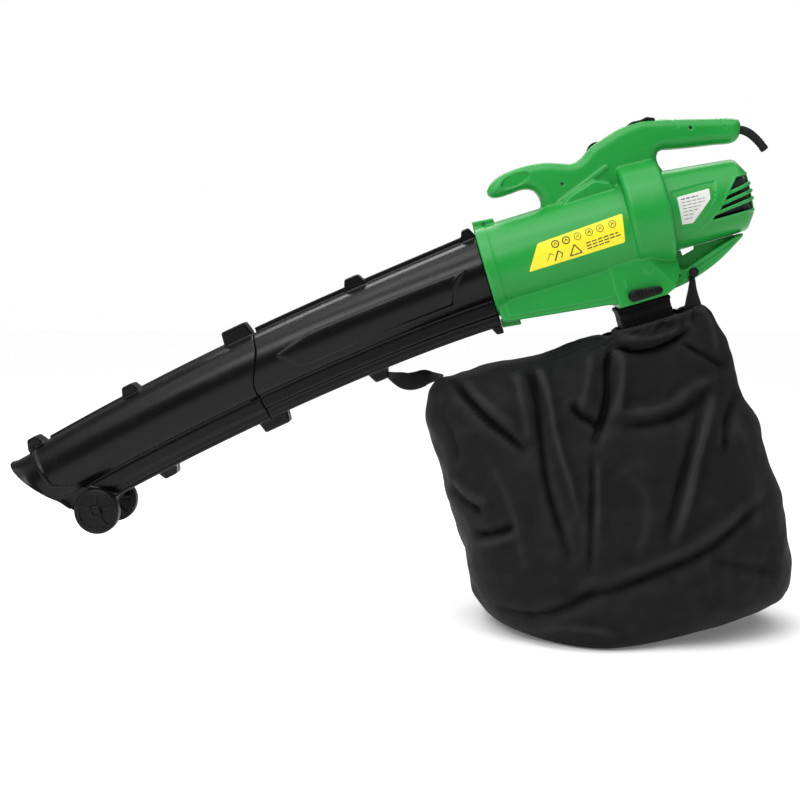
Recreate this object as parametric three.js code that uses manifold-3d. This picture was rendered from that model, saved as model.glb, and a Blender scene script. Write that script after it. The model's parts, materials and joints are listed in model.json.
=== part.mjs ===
// Corded garden blower vacuum, standing on its collection bag.
//
// The machine is laid out in its own frame: x runs back along the barrel, z is up from it
// and y is across, with the origin at the centre of the collar where the tube meets the barrel.
// That frame is tilted about y, because the machine leans on its bag. The bag itself is laid out
// upright, with its base flat on z = 0. The tube bends gently, so its pieces are placed by their
// distance from the collar. The left side is y < 0.

import * as THREE from 'three';
import { mergeVertices } from 'three/addons/utils/BufferGeometryUtils.js';
import Module from 'manifold-3d';

const wasm = await Module();
wasm.setup();

// ---------------------------------------------------------------- driving dimensions, mm

const MACHINE_TILT = THREE.MathUtils.degToRad(17);
const COLLAR = new THREE.Vector3(124, 0, 481);
const GAP = 0.3;
const WALL = 3.2;

const BARREL = { radius: 64, flangeRadius: 65.5, flangeLength: 16, length: 206, z: 8 };
const BARREL_BORE = { frontRadius: 48, radius: 58, frontEnd: 30, wideFrom: 80, end: 194 };

const FAN_TILT = THREE.MathUtils.degToRad(-4);
const FAN_CENTRE = new THREE.Vector3(228, 0, 19);
const DRUM = { radius: 74, halfLength: 27, rim: 7, innerRadius: 70, innerHalfLength: 23.5 };
const REAR_COVER = { front: 28, radius: 55.5, taperEnd: 126.5, taperRadius: 49.2, end: 143, endRadius: 24 };
// The cover's chamfer, as shares of its length and the drop in radius there.
const COVER_CHAMFER = [[0, 0], [0.22, 1.7], [0.88, 18]];
const IMPELLER = { radius: 64, back: 15, depth: 26, blades: 9 };
const SHAFT_RADIUS = 4;

const HANDLE_HALF_WIDTH = 17;
const HANDLE_ROUNDING = 9;
const SKIRT_HALF_WIDTH = 46;
const OUTLET = { x: 195, halfLength: 38, halfWidth: 50, top: -26, bottom: -89 };
const SPIGOT = { x: 190.5, halfLength: 31.1, halfWidth: 33.6, bottom: -109 };
const CONNECTOR = { x: 190.5, halfLength: 35.5, halfWidth: 38, top: -90, bottom: -140, wall: 3.9 };

const TUBE = { radius: 49, z: 9, keelHalfWidth: 27, keelShoulder: 31, keelStep: -45, keelBottom: -60 };
const TUBE_BEND = { drop: 2, slope: 0.06, curvature: 0.00012 };
const TUBE_FLARE = { amount: 0.08, length: 90 };
const UPPER_TUBE = { start: -8, end: 364, shoulder: 328 };
const LOWER_TUBE = { start: 328.6, end: 742 };
const SPIGOT_BORE = -2 * WALL - 0.6;
const NOZZLE_CUT = { x: -700, z: -93, angle: THREE.MathUtils.degToRad(39) };
const LUG_HALF_WIDTH = 13;

const WHEEL = { radius: 32, width: 15, along: 632.5, z: -65, centreY: 45, bore: 4.3 };
const AXLE_RADIUS = 4;

const BAG_WALL = 2.4;

// A rounded rim is set in by this share of its depth.
const RIM_INSET = 0.7;

// ---------------------------------------------------------------- solids and booleans

function signedVolume(geometry) {
  const position = geometry.getAttribute('position');
  const corner = (i) => new THREE.Vector3().fromBufferAttribute(position, geometry.index.getX(i));
  let volume = 0;
  for (let i = 0; i < geometry.index.count; i += 3) {
    volume += corner(i).dot(corner(i + 1).cross(corner(i + 2))) / 6;
  }
  return volume;
}

// A closed solid from a three.js geometry, with its faces turned outwards.
function solid(geometry, merge = true) {
  const bare = geometry.clone();
  bare.deleteAttribute('normal');
  bare.deleteAttribute('uv');
  const merged = merge ? mergeVertices(bare, 1e-4) : bare;
  const index = merged.index.array;
  const corners = [];
  const inward = signedVolume(merged) < 0;
  for (let i = 0; i < index.length; i += 3) {
    const [a, b, c] = [index[i], index[i + 1], index[i + 2]];
    if (a === b || b === c || c === a) continue;
    if (inward) corners.push(a, c, b);
    else corners.push(a, b, c);
  }
  return new wasm.Manifold(new wasm.Mesh({
    numProp: 3,
    vertProperties: new Float32Array(merged.getAttribute('position').array),
    triVerts: new Uint32Array(corners),
  }));
}

function geometryOf(shape) {
  const mesh = shape.getMesh();
  const geometry = new THREE.BufferGeometry();
  geometry.setAttribute('position', new THREE.BufferAttribute(mesh.vertProperties, 3));
  geometry.setIndex(new THREE.BufferAttribute(mesh.triVerts, 1));
  geometry.computeVertexNormals();
  return geometry;
}

function joined(...shapes) {
  return shapes.reduce((sum, shape) => sum.add(shape));
}

// A box between two corners.
function block([x0, y0, z0], [x1, y1, z1]) {
  const geometry = new THREE.BoxGeometry(x1 - x0, y1 - y0, z1 - z0);
  return solid(geometry.translate((x0 + x1) / 2, (y0 + y1) / 2, (z0 + z1) / 2));
}

// A box whose sides face along a frame turned about y, given by its centre.
function turnedBlock(size, centre, angle = 0) {
  const geometry = new THREE.BoxGeometry(...size).rotateY(angle);
  return solid(geometry.translate(...centre));
}

// A body of revolution about the x axis; the profile is a list of [x, radius].
function spun(profile, segments = 40) {
  const points = profile.map(([x, radius]) => new THREE.Vector2(radius, x));
  return new THREE.LatheGeometry(points, segments).rotateZ(-Math.PI / 2).rotateX(Math.PI / 2);
}

function rod(x0, x1, radius, segments = 18) {
  return spun([[x0, 0], [x0, radius], [x1, radius], [x1, 0]], segments);
}

function ring(x0, x1, inner, outer, segments = 18) {
  return solid(rod(x0, x1, outer, segments)).subtract(solid(rod(x0 - 1, x1 + 1, inner, segments)));
}

// A rod lying across the machine, from y0 to y1, about the point (x, z).
function crossRod(x, z, y0, y1, radius, segments = 16) {
  return solid(rod(y0, y1, radius, segments).rotateZ(Math.PI / 2).translate(x, 0, z));
}

// The outline moved inwards by a distance, each point along the bisector of its two sides.
function insetOutline(outline, distance) {
  const count = outline.length;
  const turn = THREE.ShapeUtils.isClockWise(outline) ? -1 : 1;
  const normal = (a, b) => new THREE.Vector2(a.y - b.y, b.x - a.x).normalize().multiplyScalar(turn);
  return outline.map((point, i) => {
    const before = normal(outline[(i + count - 1) % count], point);
    const after = normal(point, outline[(i + 1) % count]);
    const bisector = before.clone().add(after).normalize();
    return point.clone().addScaledVector(bisector, distance / Math.max(bisector.dot(after), 0.5));
  });
}

// A flat shape in the xz plane, extruded across the machine from y0 to y1 with rounded rims.
function plate(shape, y0, y1, rounding = 0, roundingSteps = 3, inset = 0) {
  const outline = shape.getPoints(8);
  if (outline[0].distanceTo(outline[outline.length - 1]) < 1e-6) outline.pop();
  const layers = [];
  for (let i = 0; i <= roundingSteps && rounding > 0; i += 1) {
    const angle = (i / roundingSteps) * (Math.PI / 2);
    layers.push([RIM_INSET * rounding * (1 - Math.sin(angle)), y0 + rounding * (1 - Math.cos(angle))]);
  }
  if (rounding === 0) layers.push([0, y0]);
  const middle = (y0 + y1) / 2;
  const mirrored = layers.map(([depth, y]) => [depth, 2 * middle - y]).reverse();
  const rings = [...layers, ...mirrored].map(([depth, y]) => (
    insetOutline(outline, depth + inset).map((point) => new THREE.Vector3(point.x, y, point.y))));
  return loft(rings, outline);
}

function polygon(points) {
  return new THREE.Shape(points.map(([x, z]) => new THREE.Vector2(x, z)));
}

// A closed smooth outline through the given points.
function smoothOutline(points, samples) {
  const corners = points.map(([x, z]) => new THREE.Vector3(x, z, 0));
  const curve = new THREE.CatmullRomCurve3(corners, true, 'centripetal');
  const outline = curve.getSpacedPoints(samples).slice(0, -1);
  return new THREE.Shape(outline.map((point) => new THREE.Vector2(point.x, point.y)));
}

// A round bar along a smooth path through the given points.
function bar(points, radius, steps, sides = 12) {
  const path = new THREE.CatmullRomCurve3(points.map((point) => new THREE.Vector3(...point)));
  const section = new THREE.Shape();
  for (let i = 0; i < sides; i += 1) {
    const angle = (i / sides) * 2 * Math.PI;
    const [u, v] = [radius * Math.cos(angle), radius * Math.sin(angle)];
    if (i === 0) section.moveTo(u, v);
    else section.lineTo(u, v);
  }
  section.closePath();
  return solid(new THREE.ExtrudeGeometry(section, { extrudePath: path, steps, bevelEnabled: false }));
}

// A closed skin over a stack of rings with equal numbers of points.
function loft(rings, capOutline) {
  const count = rings[0].length;
  const triangles = [];
  for (let layer = 0; layer < rings.length - 1; layer += 1) {
    for (let i = 0; i < count; i += 1) {
      const [a, b] = [layer * count + i, layer * count + ((i + 1) % count)];
      triangles.push(a, b, b + count, a, b + count, a + count);
    }
  }
  const outline = capOutline ?? rings[0].map(({ x, y }) => new THREE.Vector2(x, y));
  const faces = THREE.ShapeUtils.triangulateShape(outline, []);
  const area = faces.reduce((sum, face) => sum + THREE.ShapeUtils.area(face.map((k) => outline[k])), 0);
  const sameWay = area * THREE.ShapeUtils.area(outline) > 0;
  const cap = (first, alongRing) => {
    for (const [a, b, c] of faces) {
      if (sameWay === alongRing) triangles.push(first + a, first + b, first + c);
      else triangles.push(first + a, first + c, first + b);
    }
  };
  cap(0, false);
  cap((rings.length - 1) * count, true);
  const geometry = new THREE.BufferGeometry();
  const positions = rings.flat().flatMap((point) => point.toArray());
  geometry.setAttribute('position', new THREE.Float32BufferAttribute(positions, 3));
  geometry.setIndex(triangles);
  return solid(geometry, false);
}

const FAR = 2000;
const leftSide = block([-FAR, -FAR, -FAR], [FAR, -GAP / 2, FAR]);
const rightSide = block([-FAR, GAP / 2, -FAR], [FAR, FAR, FAR]);

// ---------------------------------------------------------------- materials

function finish(color, roughness, metalness = 0) {
  return () => new THREE.MeshStandardMaterial({ color, roughness, metalness });
}

const green = finish(0x2a9c40, 0.38);
const black = finish(0x1d1d1d, 0.5);
const softBlack = finish(0x202020, 0.75);
const fabric = finish(0x1a1a1a, 0.9);
const yellow = finish(0xf5e628, 0.45);
const white = finish(0xe8e8e4, 0.5);
const steel = finish(0xb4b6ba, 0.35, 0.9);
const copper = finish(0xb56a36, 0.4, 0.8);
const grey = finish(0x55585c, 0.5);
const board = finish(0x1f6b3a, 0.6);

// ---------------------------------------------------------------- the assembly and its frames

const group = new THREE.Group();
const machine = new THREE.Group();
machine.position.copy(COLLAR);
machine.rotation.y = -MACHINE_TILT;
group.add(machine);

const fanUnit = new THREE.Group();
fanUnit.position.copy(FAN_CENTRE);
fanUnit.rotation.y = -FAN_TILT;
machine.add(fanUnit);

function place(parent, name, shape, material) {
  const mesh = new THREE.Mesh(geometryOf(shape), material());
  mesh.name = name;
  parent.add(mesh);
  return mesh;
}

// Moves a solid from the fan unit's frame, about the motor's axis, to the machine's frame.
function fromFanUnit(geometry) {
  return solid(geometry.rotateY(-FAN_TILT).translate(...FAN_CENTRE));
}

// ---------------------------------------------------------------- the bent tube

// The middle of the tube at a distance from the collar, and the angle it slopes down by.
function tubeMiddle(along) {
  const { drop, slope, curvature } = TUBE_BEND;
  return {
    z: -drop - slope * along - curvature * along * along,
    angle: Math.atan(slope + 2 * curvature * along),
  };
}

// Turns a straight piece, whose x is minus the distance from the collar, to follow the tube,
// which widens a little towards the collar.
function bent(geometry) {
  const position = geometry.getAttribute('position');
  for (let i = 0; i < position.count; i += 1) {
    const along = -position.getX(i);
    const { z, angle } = tubeMiddle(along);
    const girth = 1 + TUBE_FLARE.amount * Math.exp(-along / TUBE_FLARE.length);
    const height = girth * position.getZ(i);
    position.setX(i, -along - height * Math.sin(angle));
    position.setY(i, girth * position.getY(i));
    position.setZ(i, z + height * Math.cos(angle));
  }
  return geometry;
}

// Sets a small straight piece, made about its own origin, on the tube without bending it.
function onTube(geometry, along, height) {
  const { z, angle } = tubeMiddle(along);
  const x = -along - height * Math.sin(angle);
  return solid(geometry.rotateY(-angle).translate(x, 0, z + height * Math.cos(angle)));
}

// The tube's section in the yz plane: the round suction tube with the blow duct as its keel.
function tubeSection(grow) {
  const { radius, z, keelHalfWidth, keelShoulder, keelStep, keelBottom } = TUBE;
  const outer = radius + grow;
  const [narrow, wide] = [keelHalfWidth + grow, keelShoulder + grow];
  const start = -Math.acos(wide / outer);
  const section = new THREE.Shape();
  section.moveTo(-narrow + 4, keelBottom - grow);
  section.lineTo(narrow - 4, keelBottom - grow);
  section.lineTo(narrow, keelBottom - grow + 4);
  section.lineTo(narrow, keelStep);
  section.lineTo(wide, keelStep + 2);
  section.absarc(0, z, outer, start, Math.PI - start, false);
  section.lineTo(-wide, keelStep + 2);
  section.lineTo(-narrow, keelStep);
  section.lineTo(-narrow, keelBottom - grow + 4);
  section.closePath();
  return section;
}

// Extrudes a section drawn in the yz plane between two distances from the collar, and bends it.
function tubeRun(section, from, to, steps, curveSegments = 9) {
  const geometry = new THREE.ExtrudeGeometry(section, {
    depth: to - from, steps, bevelEnabled: false, curveSegments,
  });
  const basis = new THREE.Matrix4().makeBasis(
    new THREE.Vector3(0, 1, 0), new THREE.Vector3(0, 0, 1), new THREE.Vector3(1, 0, 0));
  return solid(bent(geometry.applyMatrix4(basis).translate(-to, 0, 0)));
}

function tubeBores(from, to, grow, steps) {
  const round = new THREE.Shape();
  round.absarc(0, TUBE.z, TUBE.radius + grow, 0, 2 * Math.PI, false);
  const half = TUBE.keelHalfWidth + grow;
  const duct = new THREE.Shape();
  const top = TUBE.z - TUBE.radius - 1;
  duct.moveTo(-half, TUBE.keelBottom - grow);
  duct.lineTo(half, TUBE.keelBottom - grow);
  duct.lineTo(half, top);
  duct.lineTo(-half, top);
  duct.closePath();
  return joined(tubeRun(round, from, to, steps), tubeRun(duct, from, to, steps));
}

// A screw lug standing on the tube's top or bottom seam.
function lug(along, length, height, side) {
  const surface = side > 0 ? TUBE.z + TUBE.radius : -TUBE.keelBottom;
  const middle = side * (surface - 5 + height / 2);
  const outline = polygon([
    [-length / 2, -height / 2 - 3], [length / 2, -height / 2 - 3],
    [length / 2 - 3, height / 2 + 3], [-length / 2 + 3, height / 2 + 3],
  ]);
  const geometry = new THREE.ExtrudeGeometry(outline, {
    depth: 2 * LUG_HALF_WIDTH - 4, bevelEnabled: true, bevelThickness: 2, bevelSize: 2,
    bevelOffset: -2, bevelSegments: 1,
  });
  geometry.rotateX(Math.PI / 2).translate(0, LUG_HALF_WIDTH - 2, 0);
  if (side < 0) geometry.rotateX(Math.PI);
  return onTube(geometry, along, middle);
}

// The screw through a lug: a pan head in a counterbore on the right and a shank across the seam.
const SCREW = { head: 4.2, shank: 2, headLength: 3, from: -LUG_HALF_WIDTH + 1, to: 9 };

function screwBody(grow) {
  const { head, shank, headLength, from, to } = SCREW;
  const start = grow > 0 ? from - 10 : from;
  return spun([
    [start, 0], [start, head + grow], [from + headLength + grow, head + grow],
    [from + headLength + grow, shank + grow], [to + grow, shank + grow], [to + grow, 0],
  ], 10).rotateZ(-Math.PI / 2);
}

const lugs = [
  { name: 'nozzle_top', along: 675, length: 26, height: 16, side: 1, tube: 'lower' },
  { name: 'lower_top', along: 520, length: 28, height: 16, side: 1, tube: 'lower' },
  { name: 'joint_top', along: 351, length: 42, height: 22, side: 1, tube: 'lower' },
  { name: 'upper_top', along: 174, length: 32, height: 18, side: 1, tube: 'upper' },
  { name: 'collar_top', along: 7, length: 22, height: 16, side: 1, tube: 'upper' },
  { name: 'lower_bottom', along: 525, length: 30, height: 14, side: -1, tube: 'lower' },
  { name: 'joint_bottom', along: 354, length: 44, height: 18, side: -1, tube: 'lower' },
  { name: 'upper_bottom', along: 190, length: 30, height: 16, side: -1, tube: 'upper' },
  { name: 'collar_bottom', along: 9, length: 22, height: 12, side: -1, tube: 'upper' },
];

function lugScrewHeight({ height, side }) {
  const surface = side > 0 ? TUBE.z + TUBE.radius : -TUBE.keelBottom;
  return side * (surface + (height - 10) / 2 + 3);
}

function lugScrew(item, grow) {
  return onTube(screwBody(grow), item.along, lugScrewHeight(item));
}

function withLugs(tube, which) {
  const own = lugs.filter((item) => item.tube === which);
  const bosses = own.map(({ along, length, height, side }) => lug(along, length, height, side));
  return { outer: joined(tube, ...bosses), holes: joined(...own.map((item) => lugScrew(item, GAP))) };
}

function splitInHalves(shape, name, material) {
  place(machine, `${name}_left`, shape.intersect(leftSide), material);
  place(machine, `${name}_right`, shape.intersect(rightSide), material);
}

// The upper tube: a raised panel on each side, a seam rib on top, and a spigot for the lower tube.
function makeUpperTube() {
  const body = joined(
    tubeRun(tubeSection(0), UPPER_TUBE.start, UPPER_TUBE.shoulder, 5),
    tubeRun(tubeSection(-WALL - 0.4), UPPER_TUBE.shoulder - 2, UPPER_TUBE.end, 2),
  );
  const panelOutline = [[-178, 26], [-16, 52], [-28, 34], [-32, 14], [-186, -12], [-205, -8]];
  const panel = plate(polygon(panelOutline), -FAR / 4, FAR / 4)
    .intersect(tubeRun(tubeSection(1.8), 11, UPPER_TUBE.shoulder - 6, 5));
  const ribShape = polygon([[-2.5, 50], [2.5, 50], [2.5, 62], [-2.5, 62]]);
  const rib = tubeRun(ribShape, 11, UPPER_TUBE.shoulder - 4, 5);
  const { outer, holes } = withLugs(joined(body, panel, rib), 'upper');
  const beyondCollar = block([-GAP, -FAR, -FAR], [FAR, FAR, FAR]);
  const { shoulder, end } = UPPER_TUBE;
  const bores = tubeBores(-30, shoulder - 8, -WALL, 3)
    .add(tubeBores(shoulder - 9, end + 2, SPIGOT_BORE, 1));
  splitInHalves(outer.subtract(beyondCollar).subtract(bores).subtract(holes), 'upper_tube', black);
}

const LIP_LENGTH = 7;

// The lower tube, with the nozzle's slanted mouth and its raised lip.
function makeLowerTube() {
  const { x, z, angle } = NOZZLE_CUT;
  const slab = (length, away) => turnedBlock([length, FAR, FAR],
    [x + away * Math.cos(angle), 0, z + away * Math.sin(angle)], -angle);
  const beyondMouth = slab(FAR, -FAR / 2);
  const lipZone = slab(LIP_LENGTH, LIP_LENGTH / 2);
  const lip = tubeRun(tubeSection(2), LOWER_TUBE.end - 150, LOWER_TUBE.end + 120, 4).intersect(lipZone);
  const body = tubeRun(tubeSection(0.6), LOWER_TUBE.start, LOWER_TUBE.end + 60, 6);
  const { outer, holes } = withLugs(joined(body.subtract(beyondMouth), lip), 'lower');
  const socket = tubeRun(tubeSection(-WALL), LOWER_TUBE.start - 4, UPPER_TUBE.end + 2, 2);
  const bores = tubeBores(LOWER_TUBE.start - 4, LOWER_TUBE.end + 80, -WALL, 3);
  const shape = outer.subtract(socket).subtract(bores).subtract(holes);
  splitInHalves(shape, 'lower_tube', black);
}

function makeTubeScrews() {
  for (const item of lugs) place(machine, `screw_${item.name}`, lugScrew(item, 0), steel);
}

// ---------------------------------------------------------------- nozzle wheels

const AXLE_CAP = { from: 53.8, to: 57.5, radius: 9 };
const AXLE_HALF_LENGTH = AXLE_CAP.from - 0.4;

function makeNozzleWheels() {
  const { radius, width, along, z, centreY, bore } = WHEEL;
  const bracketHalfWidth = 33;
  const arm = polygon([[-15, 3.8], [-13, 0], [-9, -9], [9, -9], [22, 0], [26, 3.8]]);
  const armGeometry = new THREE.ExtrudeGeometry(arm, { depth: 2 * bracketHalfWidth, bevelEnabled: false });
  armGeometry.rotateX(Math.PI / 2).translate(0, bracketHalfWidth, 0);
  const across = (geometry) => geometry.rotateZ(Math.PI / 2);
  const boreGeometry = across(rod(-60, 60, AXLE_RADIUS + GAP, 20));
  const bracket = onTube(armGeometry, along, z).subtract(onTube(boreGeometry, along, z));
  place(machine, 'wheel_bracket', bracket, black);
  const axle = across(rod(-AXLE_HALF_LENGTH, AXLE_HALF_LENGTH, AXLE_RADIUS, 20));
  place(machine, 'wheel_axle', onTube(axle, along, z), steel);
  const half = width / 2;
  const rim = [[0, 10], [3, 11.5], [3, 22], [0, 24], [1.5, 29.5], [4.5, radius]];
  const profile = [
    [-half, bore], ...rim.map(([inset, r]) => [inset - half, r]),
    ...rim.reverse().map(([inset, r]) => [half - inset, r]), [half, bore], [-half, bore],
  ];
  for (const [name, side] of [['left', -1], ['right', 1]]) {
    const wheel = across(spun(profile, 18)).translate(0, side * centreY, 0);
    place(machine, `${name}_wheel`, onTube(wheel, along, z), softBlack);
    const { from, to, radius: capRadius } = AXLE_CAP;
    const capProfile = [[from, 0], [from, capRadius], [to - 1.5, capRadius], [to, capRadius - 2.5], [to, 0]];
    const cap = across(spun(capProfile, 20));
    if (side < 0) cap.rotateZ(Math.PI);
    place(machine, `${name}_axle_cap`, onTube(cap, along, z), softBlack);
  }
}

// ---------------------------------------------------------------- housing shells

const handleOutline = [
  [97, 60], [98, 84], [92, 98], [80, 103], [62, 102.5], [44, 102.5], [34, 106], [31, 113], [38, 122],
  [52, 129.5], [72, 132.5], [94, 132.5], [118, 129], [138, 122], [153, 117], [166, 120], [181, 130],
  [203, 137], [231, 143.5], [256, 144.5], [277, 139.5], [305, 131.5], [340, 121], [372, 111.5], [382, 106],
  [382, 98], [376, 85], [368, 80], [340, 85], [305, 91.5], [284, 96], [270, 98.5], [264, 92], [264, 80],
  [270, 66], [270, 50], [230, 50], [140, 50],
];

const strutOutline = [
  [200, -30], [236, -32], [246, -42], [250, -56], [256, -64], [272, -60], [305, -49.5], [338, -41],
  [346, -40.5], [346, -43], [334, -51], [319, -60], [299, -70], [277, -78], [258, -83],
  [238, -86], [200, -87],
];
// The thin web that fills the gap between the strut and the rear cover, but for a small window.
const webOutline = [
  [242, -36], [262, -36], [262, -47], [280, -42.5], [280, -36], [336, -36], [336, -42], [305, -52],
  [276, -62], [254, -68], [242, -50],
];
const WEB_HALF_WIDTH = 4;
const STRUT_HALF_WIDTH = 18;
const gussetOutline = [[112, 60], [126, 82], [152, 100], [196, 108], [204, 60]];
const upperBlockOutline = [[0, 60], [0, 81], [20, 79], [23, 60]];
const lowerBlockOutline = [[0, -70], [0, -55], [26, -55], [26, -73]];
const COLLAR_BLOCK_HALF_WIDTH = 13;

const skirtOutline = [
  [2, -61], [2, -22], [100, -22], [190, -20], [194, -28], [194, -84], [160, -84],
  [144, -80], [20, -64],
];

function shellOuter() {
  const { radius, flangeRadius, flangeLength, length, z } = BARREL;
  const barrel = solid(spun([[0, 0], [0, flangeRadius - 2], [2, flangeRadius], [flangeLength, flangeRadius],
    [flangeLength + 4, radius], [length, radius], [length, 0]], 36).translate(0, 0, z));
  const { halfLength, rim } = DRUM;
  const drum = fromFanUnit(spun([[-halfLength, 0], [-halfLength, DRUM.radius - rim],
    [-halfLength + 2, DRUM.radius - 2.5], [-halfLength + rim, DRUM.radius], [halfLength - rim, DRUM.radius],
    [halfLength - 2, DRUM.radius - 2.5], [halfLength, DRUM.radius - rim], [halfLength, 0]], 36));
  const handle = plate(smoothOutline(handleOutline, 64), -HANDLE_HALF_WIDTH, HANDLE_HALF_WIDTH,
    HANDLE_ROUNDING, 2);
  const gusset = plate(polygon(gussetOutline), -26, 26, 4, 2);
  const strut = plate(smoothOutline(strutOutline, 34), -STRUT_HALF_WIDTH, STRUT_HALF_WIDTH, 4, 1);
  const web = plate(polygon(webOutline), -WEB_HALF_WIDTH, WEB_HALF_WIDTH);
  const skirt = plate(polygon(skirtOutline), -SKIRT_HALF_WIDTH, SKIRT_HALF_WIDTH, 5, 2);
  const { x, halfWidth, top, bottom } = OUTLET;
  const outlet = block([x - OUTLET.halfLength, -halfWidth, bottom],
    [x + OUTLET.halfLength, halfWidth, top]);
  const spigot = block([SPIGOT.x - SPIGOT.halfLength, -SPIGOT.halfWidth, SPIGOT.bottom],
    [SPIGOT.x + SPIGOT.halfLength, SPIGOT.halfWidth, top]);
  const collarBlocks = [upperBlockOutline, lowerBlockOutline]
    .map((shape) => plate(polygon(shape), -COLLAR_BLOCK_HALF_WIDTH, COLLAR_BLOCK_HALF_WIDTH, 2, 2));
  const body = joined(barrel, drum, handle, gusset, strut, web, skirt, outlet, spigot, ...collarBlocks);
  return { body, barrel, drum };
}

function shellHollow(barrel, drum) {
  const { frontRadius, radius, frontEnd, wideFrom, end } = BARREL_BORE;
  const bore = solid(spun([[-2, 0], [-2, frontRadius], [frontEnd, frontRadius], [wideFrom, radius],
    [end, radius], [end, 0]], 24).translate(0, 0, BARREL.z));
  const inlet = fromFanUnit(rod(-50, 0, 44, 24));
  const drumInner = fromFanUnit(rod(-DRUM.innerHalfLength, DRUM.innerHalfLength, DRUM.innerRadius, 28));
  const motorHole = fromFanUnit(rod(0, 60, 40, 24));
  const [ductLength, ductWidth] = [OUTLET.halfLength - WALL, OUTLET.halfWidth - WALL];
  const [throatLength, throatWidth] = [SPIGOT.halfLength - WALL, SPIGOT.halfWidth - WALL];
  const ductTop = -10;
  const outletDuct = joined(
    block([OUTLET.x - ductLength, -ductWidth, OUTLET.bottom + WALL],
      [OUTLET.x + ductLength, ductWidth, ductTop]),
    block([SPIGOT.x - throatLength, -throatWidth, SPIGOT.bottom - 5],
      [SPIGOT.x + throatLength, throatWidth, ductTop]),
  );
  const blowDuct = plate(polygon([[-2, -44], [40, -46], [90, -54], [170, -56], [170, -76], [144, -75],
    [-2, -57.5]]), -22, 22);
  const inside = plate(smoothOutline(handleOutline, 40), -HANDLE_HALF_WIDTH + WALL, HANDLE_HALF_WIDTH - WALL,
    HANDLE_ROUNDING - WALL, 1, WALL);
  const handleSpace = inside.subtract(barrel).subtract(drum).subtract(block([60, -30, 40], [300, 30, 97]));
  return joined(bore, inlet, drumInner, motorHole, outletDuct, blowDuct, handleSpace);
}

const rocker = { x: 256, z: 134, halfWidth: 8.7, from: 236.5, to: 275.5, base: 131, clearance: 2.5 };
const rockerTop = [[rocker.from, 143.3], [246, 146.3], [262, 147], [rocker.to, 142.3]];
const dial = { x: 190, z: 121, radius: 15, halfWidth: 4 };
const lever = {
  x: 179, z: -77, hubRadius: 8, tipX: 212, tipZ: -79, tipRadius: 5.5, spindleRadius: 4,
  outer: -62, inner: -54.6,
};
const peg = { x: 267, z: -71.5, radius: 4, headRadius: 6.5, from: -18.4, head: -27, end: -31 };
const screwPosts = [[15, 73.5], [132, 94], [316, 115], [248, -70]];
const cordRoute = [
  [271.5, 0, 111], [300, 0, 101], [340, 0, 96.5], [378, 0, 94.5], [390, 0, 87], [400, 0, 72], [406, 0, 57],
];
const leadRoute = [...cordRoute, [408, 0, 51]];
const GUARD = { radius: 6, baseRadius: 9, from: 371, lead: 3.4 };

function coverProfile(grow) {
  const { front, radius, taperEnd, taperRadius, end, endRadius } = REAR_COVER;
  const corner = end - taperEnd;
  const chamfer = COVER_CHAMFER.map(
    ([share, drop]) => [taperEnd + corner * share, taperRadius - drop + grow]);
  return [[front - grow, 0], [front - grow, radius + grow], ...chamfer,
    [end + grow, endRadius + grow], [end + grow, 0]];
}

function housingScrew(x, z, grow) {
  const geometry = screwBody(grow).translate(x, 0, z);
  return solid(geometry);
}

function makeHousing() {
  const { body, barrel, drum } = shellOuter();
  const coverSpace = fromFanUnit(spun(coverProfile(GAP), 32));
  const rockerSlot = block([rocker.from - rocker.clearance, -rocker.halfWidth - 0.5, 125],
    [rocker.to + rocker.clearance, rocker.halfWidth + 0.5, 170]);
  const [dialReach, dialSide] = [dial.radius + 4, dial.halfWidth + 0.6];
  const dialSlot = block([dial.x - dialReach, -dialSide, dial.z - dialReach + 2],
    [dial.x + dialReach, dialSide, 160]);
  const spindleHole = crossRod(lever.x, lever.z, -60, 0, lever.spindleRadius + GAP);
  const leadHole = bar(leadRoute, GUARD.lead + 1, 8, 6);
  const guardHole = bar(cordRoute, GUARD.radius + GAP, 10, 8)
    .intersect(block([GUARD.from, -30, 0], [FAR, 30, 200]));
  const pads = joined(...screwPosts.map(([x, z]) => crossRod(x, z, -15, 15, 6, 16)));
  const holes = joined(...screwPosts.map(([x, z]) => housingScrew(x, z, GAP)));
  const hollow = shellHollow(barrel, drum).subtract(pads);
  const shell = body.subtract(hollow).subtract(coverSpace).subtract(rockerSlot).subtract(dialSlot)
    .subtract(spindleHole).subtract(leadHole).subtract(guardHole).subtract(holes);
  splitInHalves(shell, 'housing', green);
  screwPosts.forEach(([x, z], i) => place(machine, `screw_housing_${i + 1}`, housingScrew(x, z, 0), steel));
}

// The cap over the motor: a thin shell with slots down both sides and across its end.
function makeRearCover() {
  const { front, end } = REAR_COVER;
  const inner = coverProfile(-WALL).map(([x, r], i) => (i < 2 ? [front - 1, r] : [x, r]));
  let cover = solid(spun(coverProfile(0), 32)).subtract(solid(spun(inner, 24)));
  const slotPitch = 9;
  for (const side of [-1, 1]) {
    for (let i = 0; i < 4; i += 1) {
      const z = -24 + i * slotPitch;
      const from = end - 36 + i * 5;
      const [near, far] = [side * 12, side * 45];
      cover = cover.subtract(block([from, Math.min(near, far), z], [end + 2, Math.max(near, far), z + 4]));
    }
  }
  place(fanUnit, 'rear_motor_cover', cover, green);
}

const cautionOutline = [[54.6, -6.3], [76, 27], [193.4, 32.2], [186.6, -5.3]];
const ratingOutline = [[39.6, 15.2], [83.3, 17.1], [82, 3.2], [54.4, -22.5], [36.4, -21.7]];
const FILM_TOP = 0.7;

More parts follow.
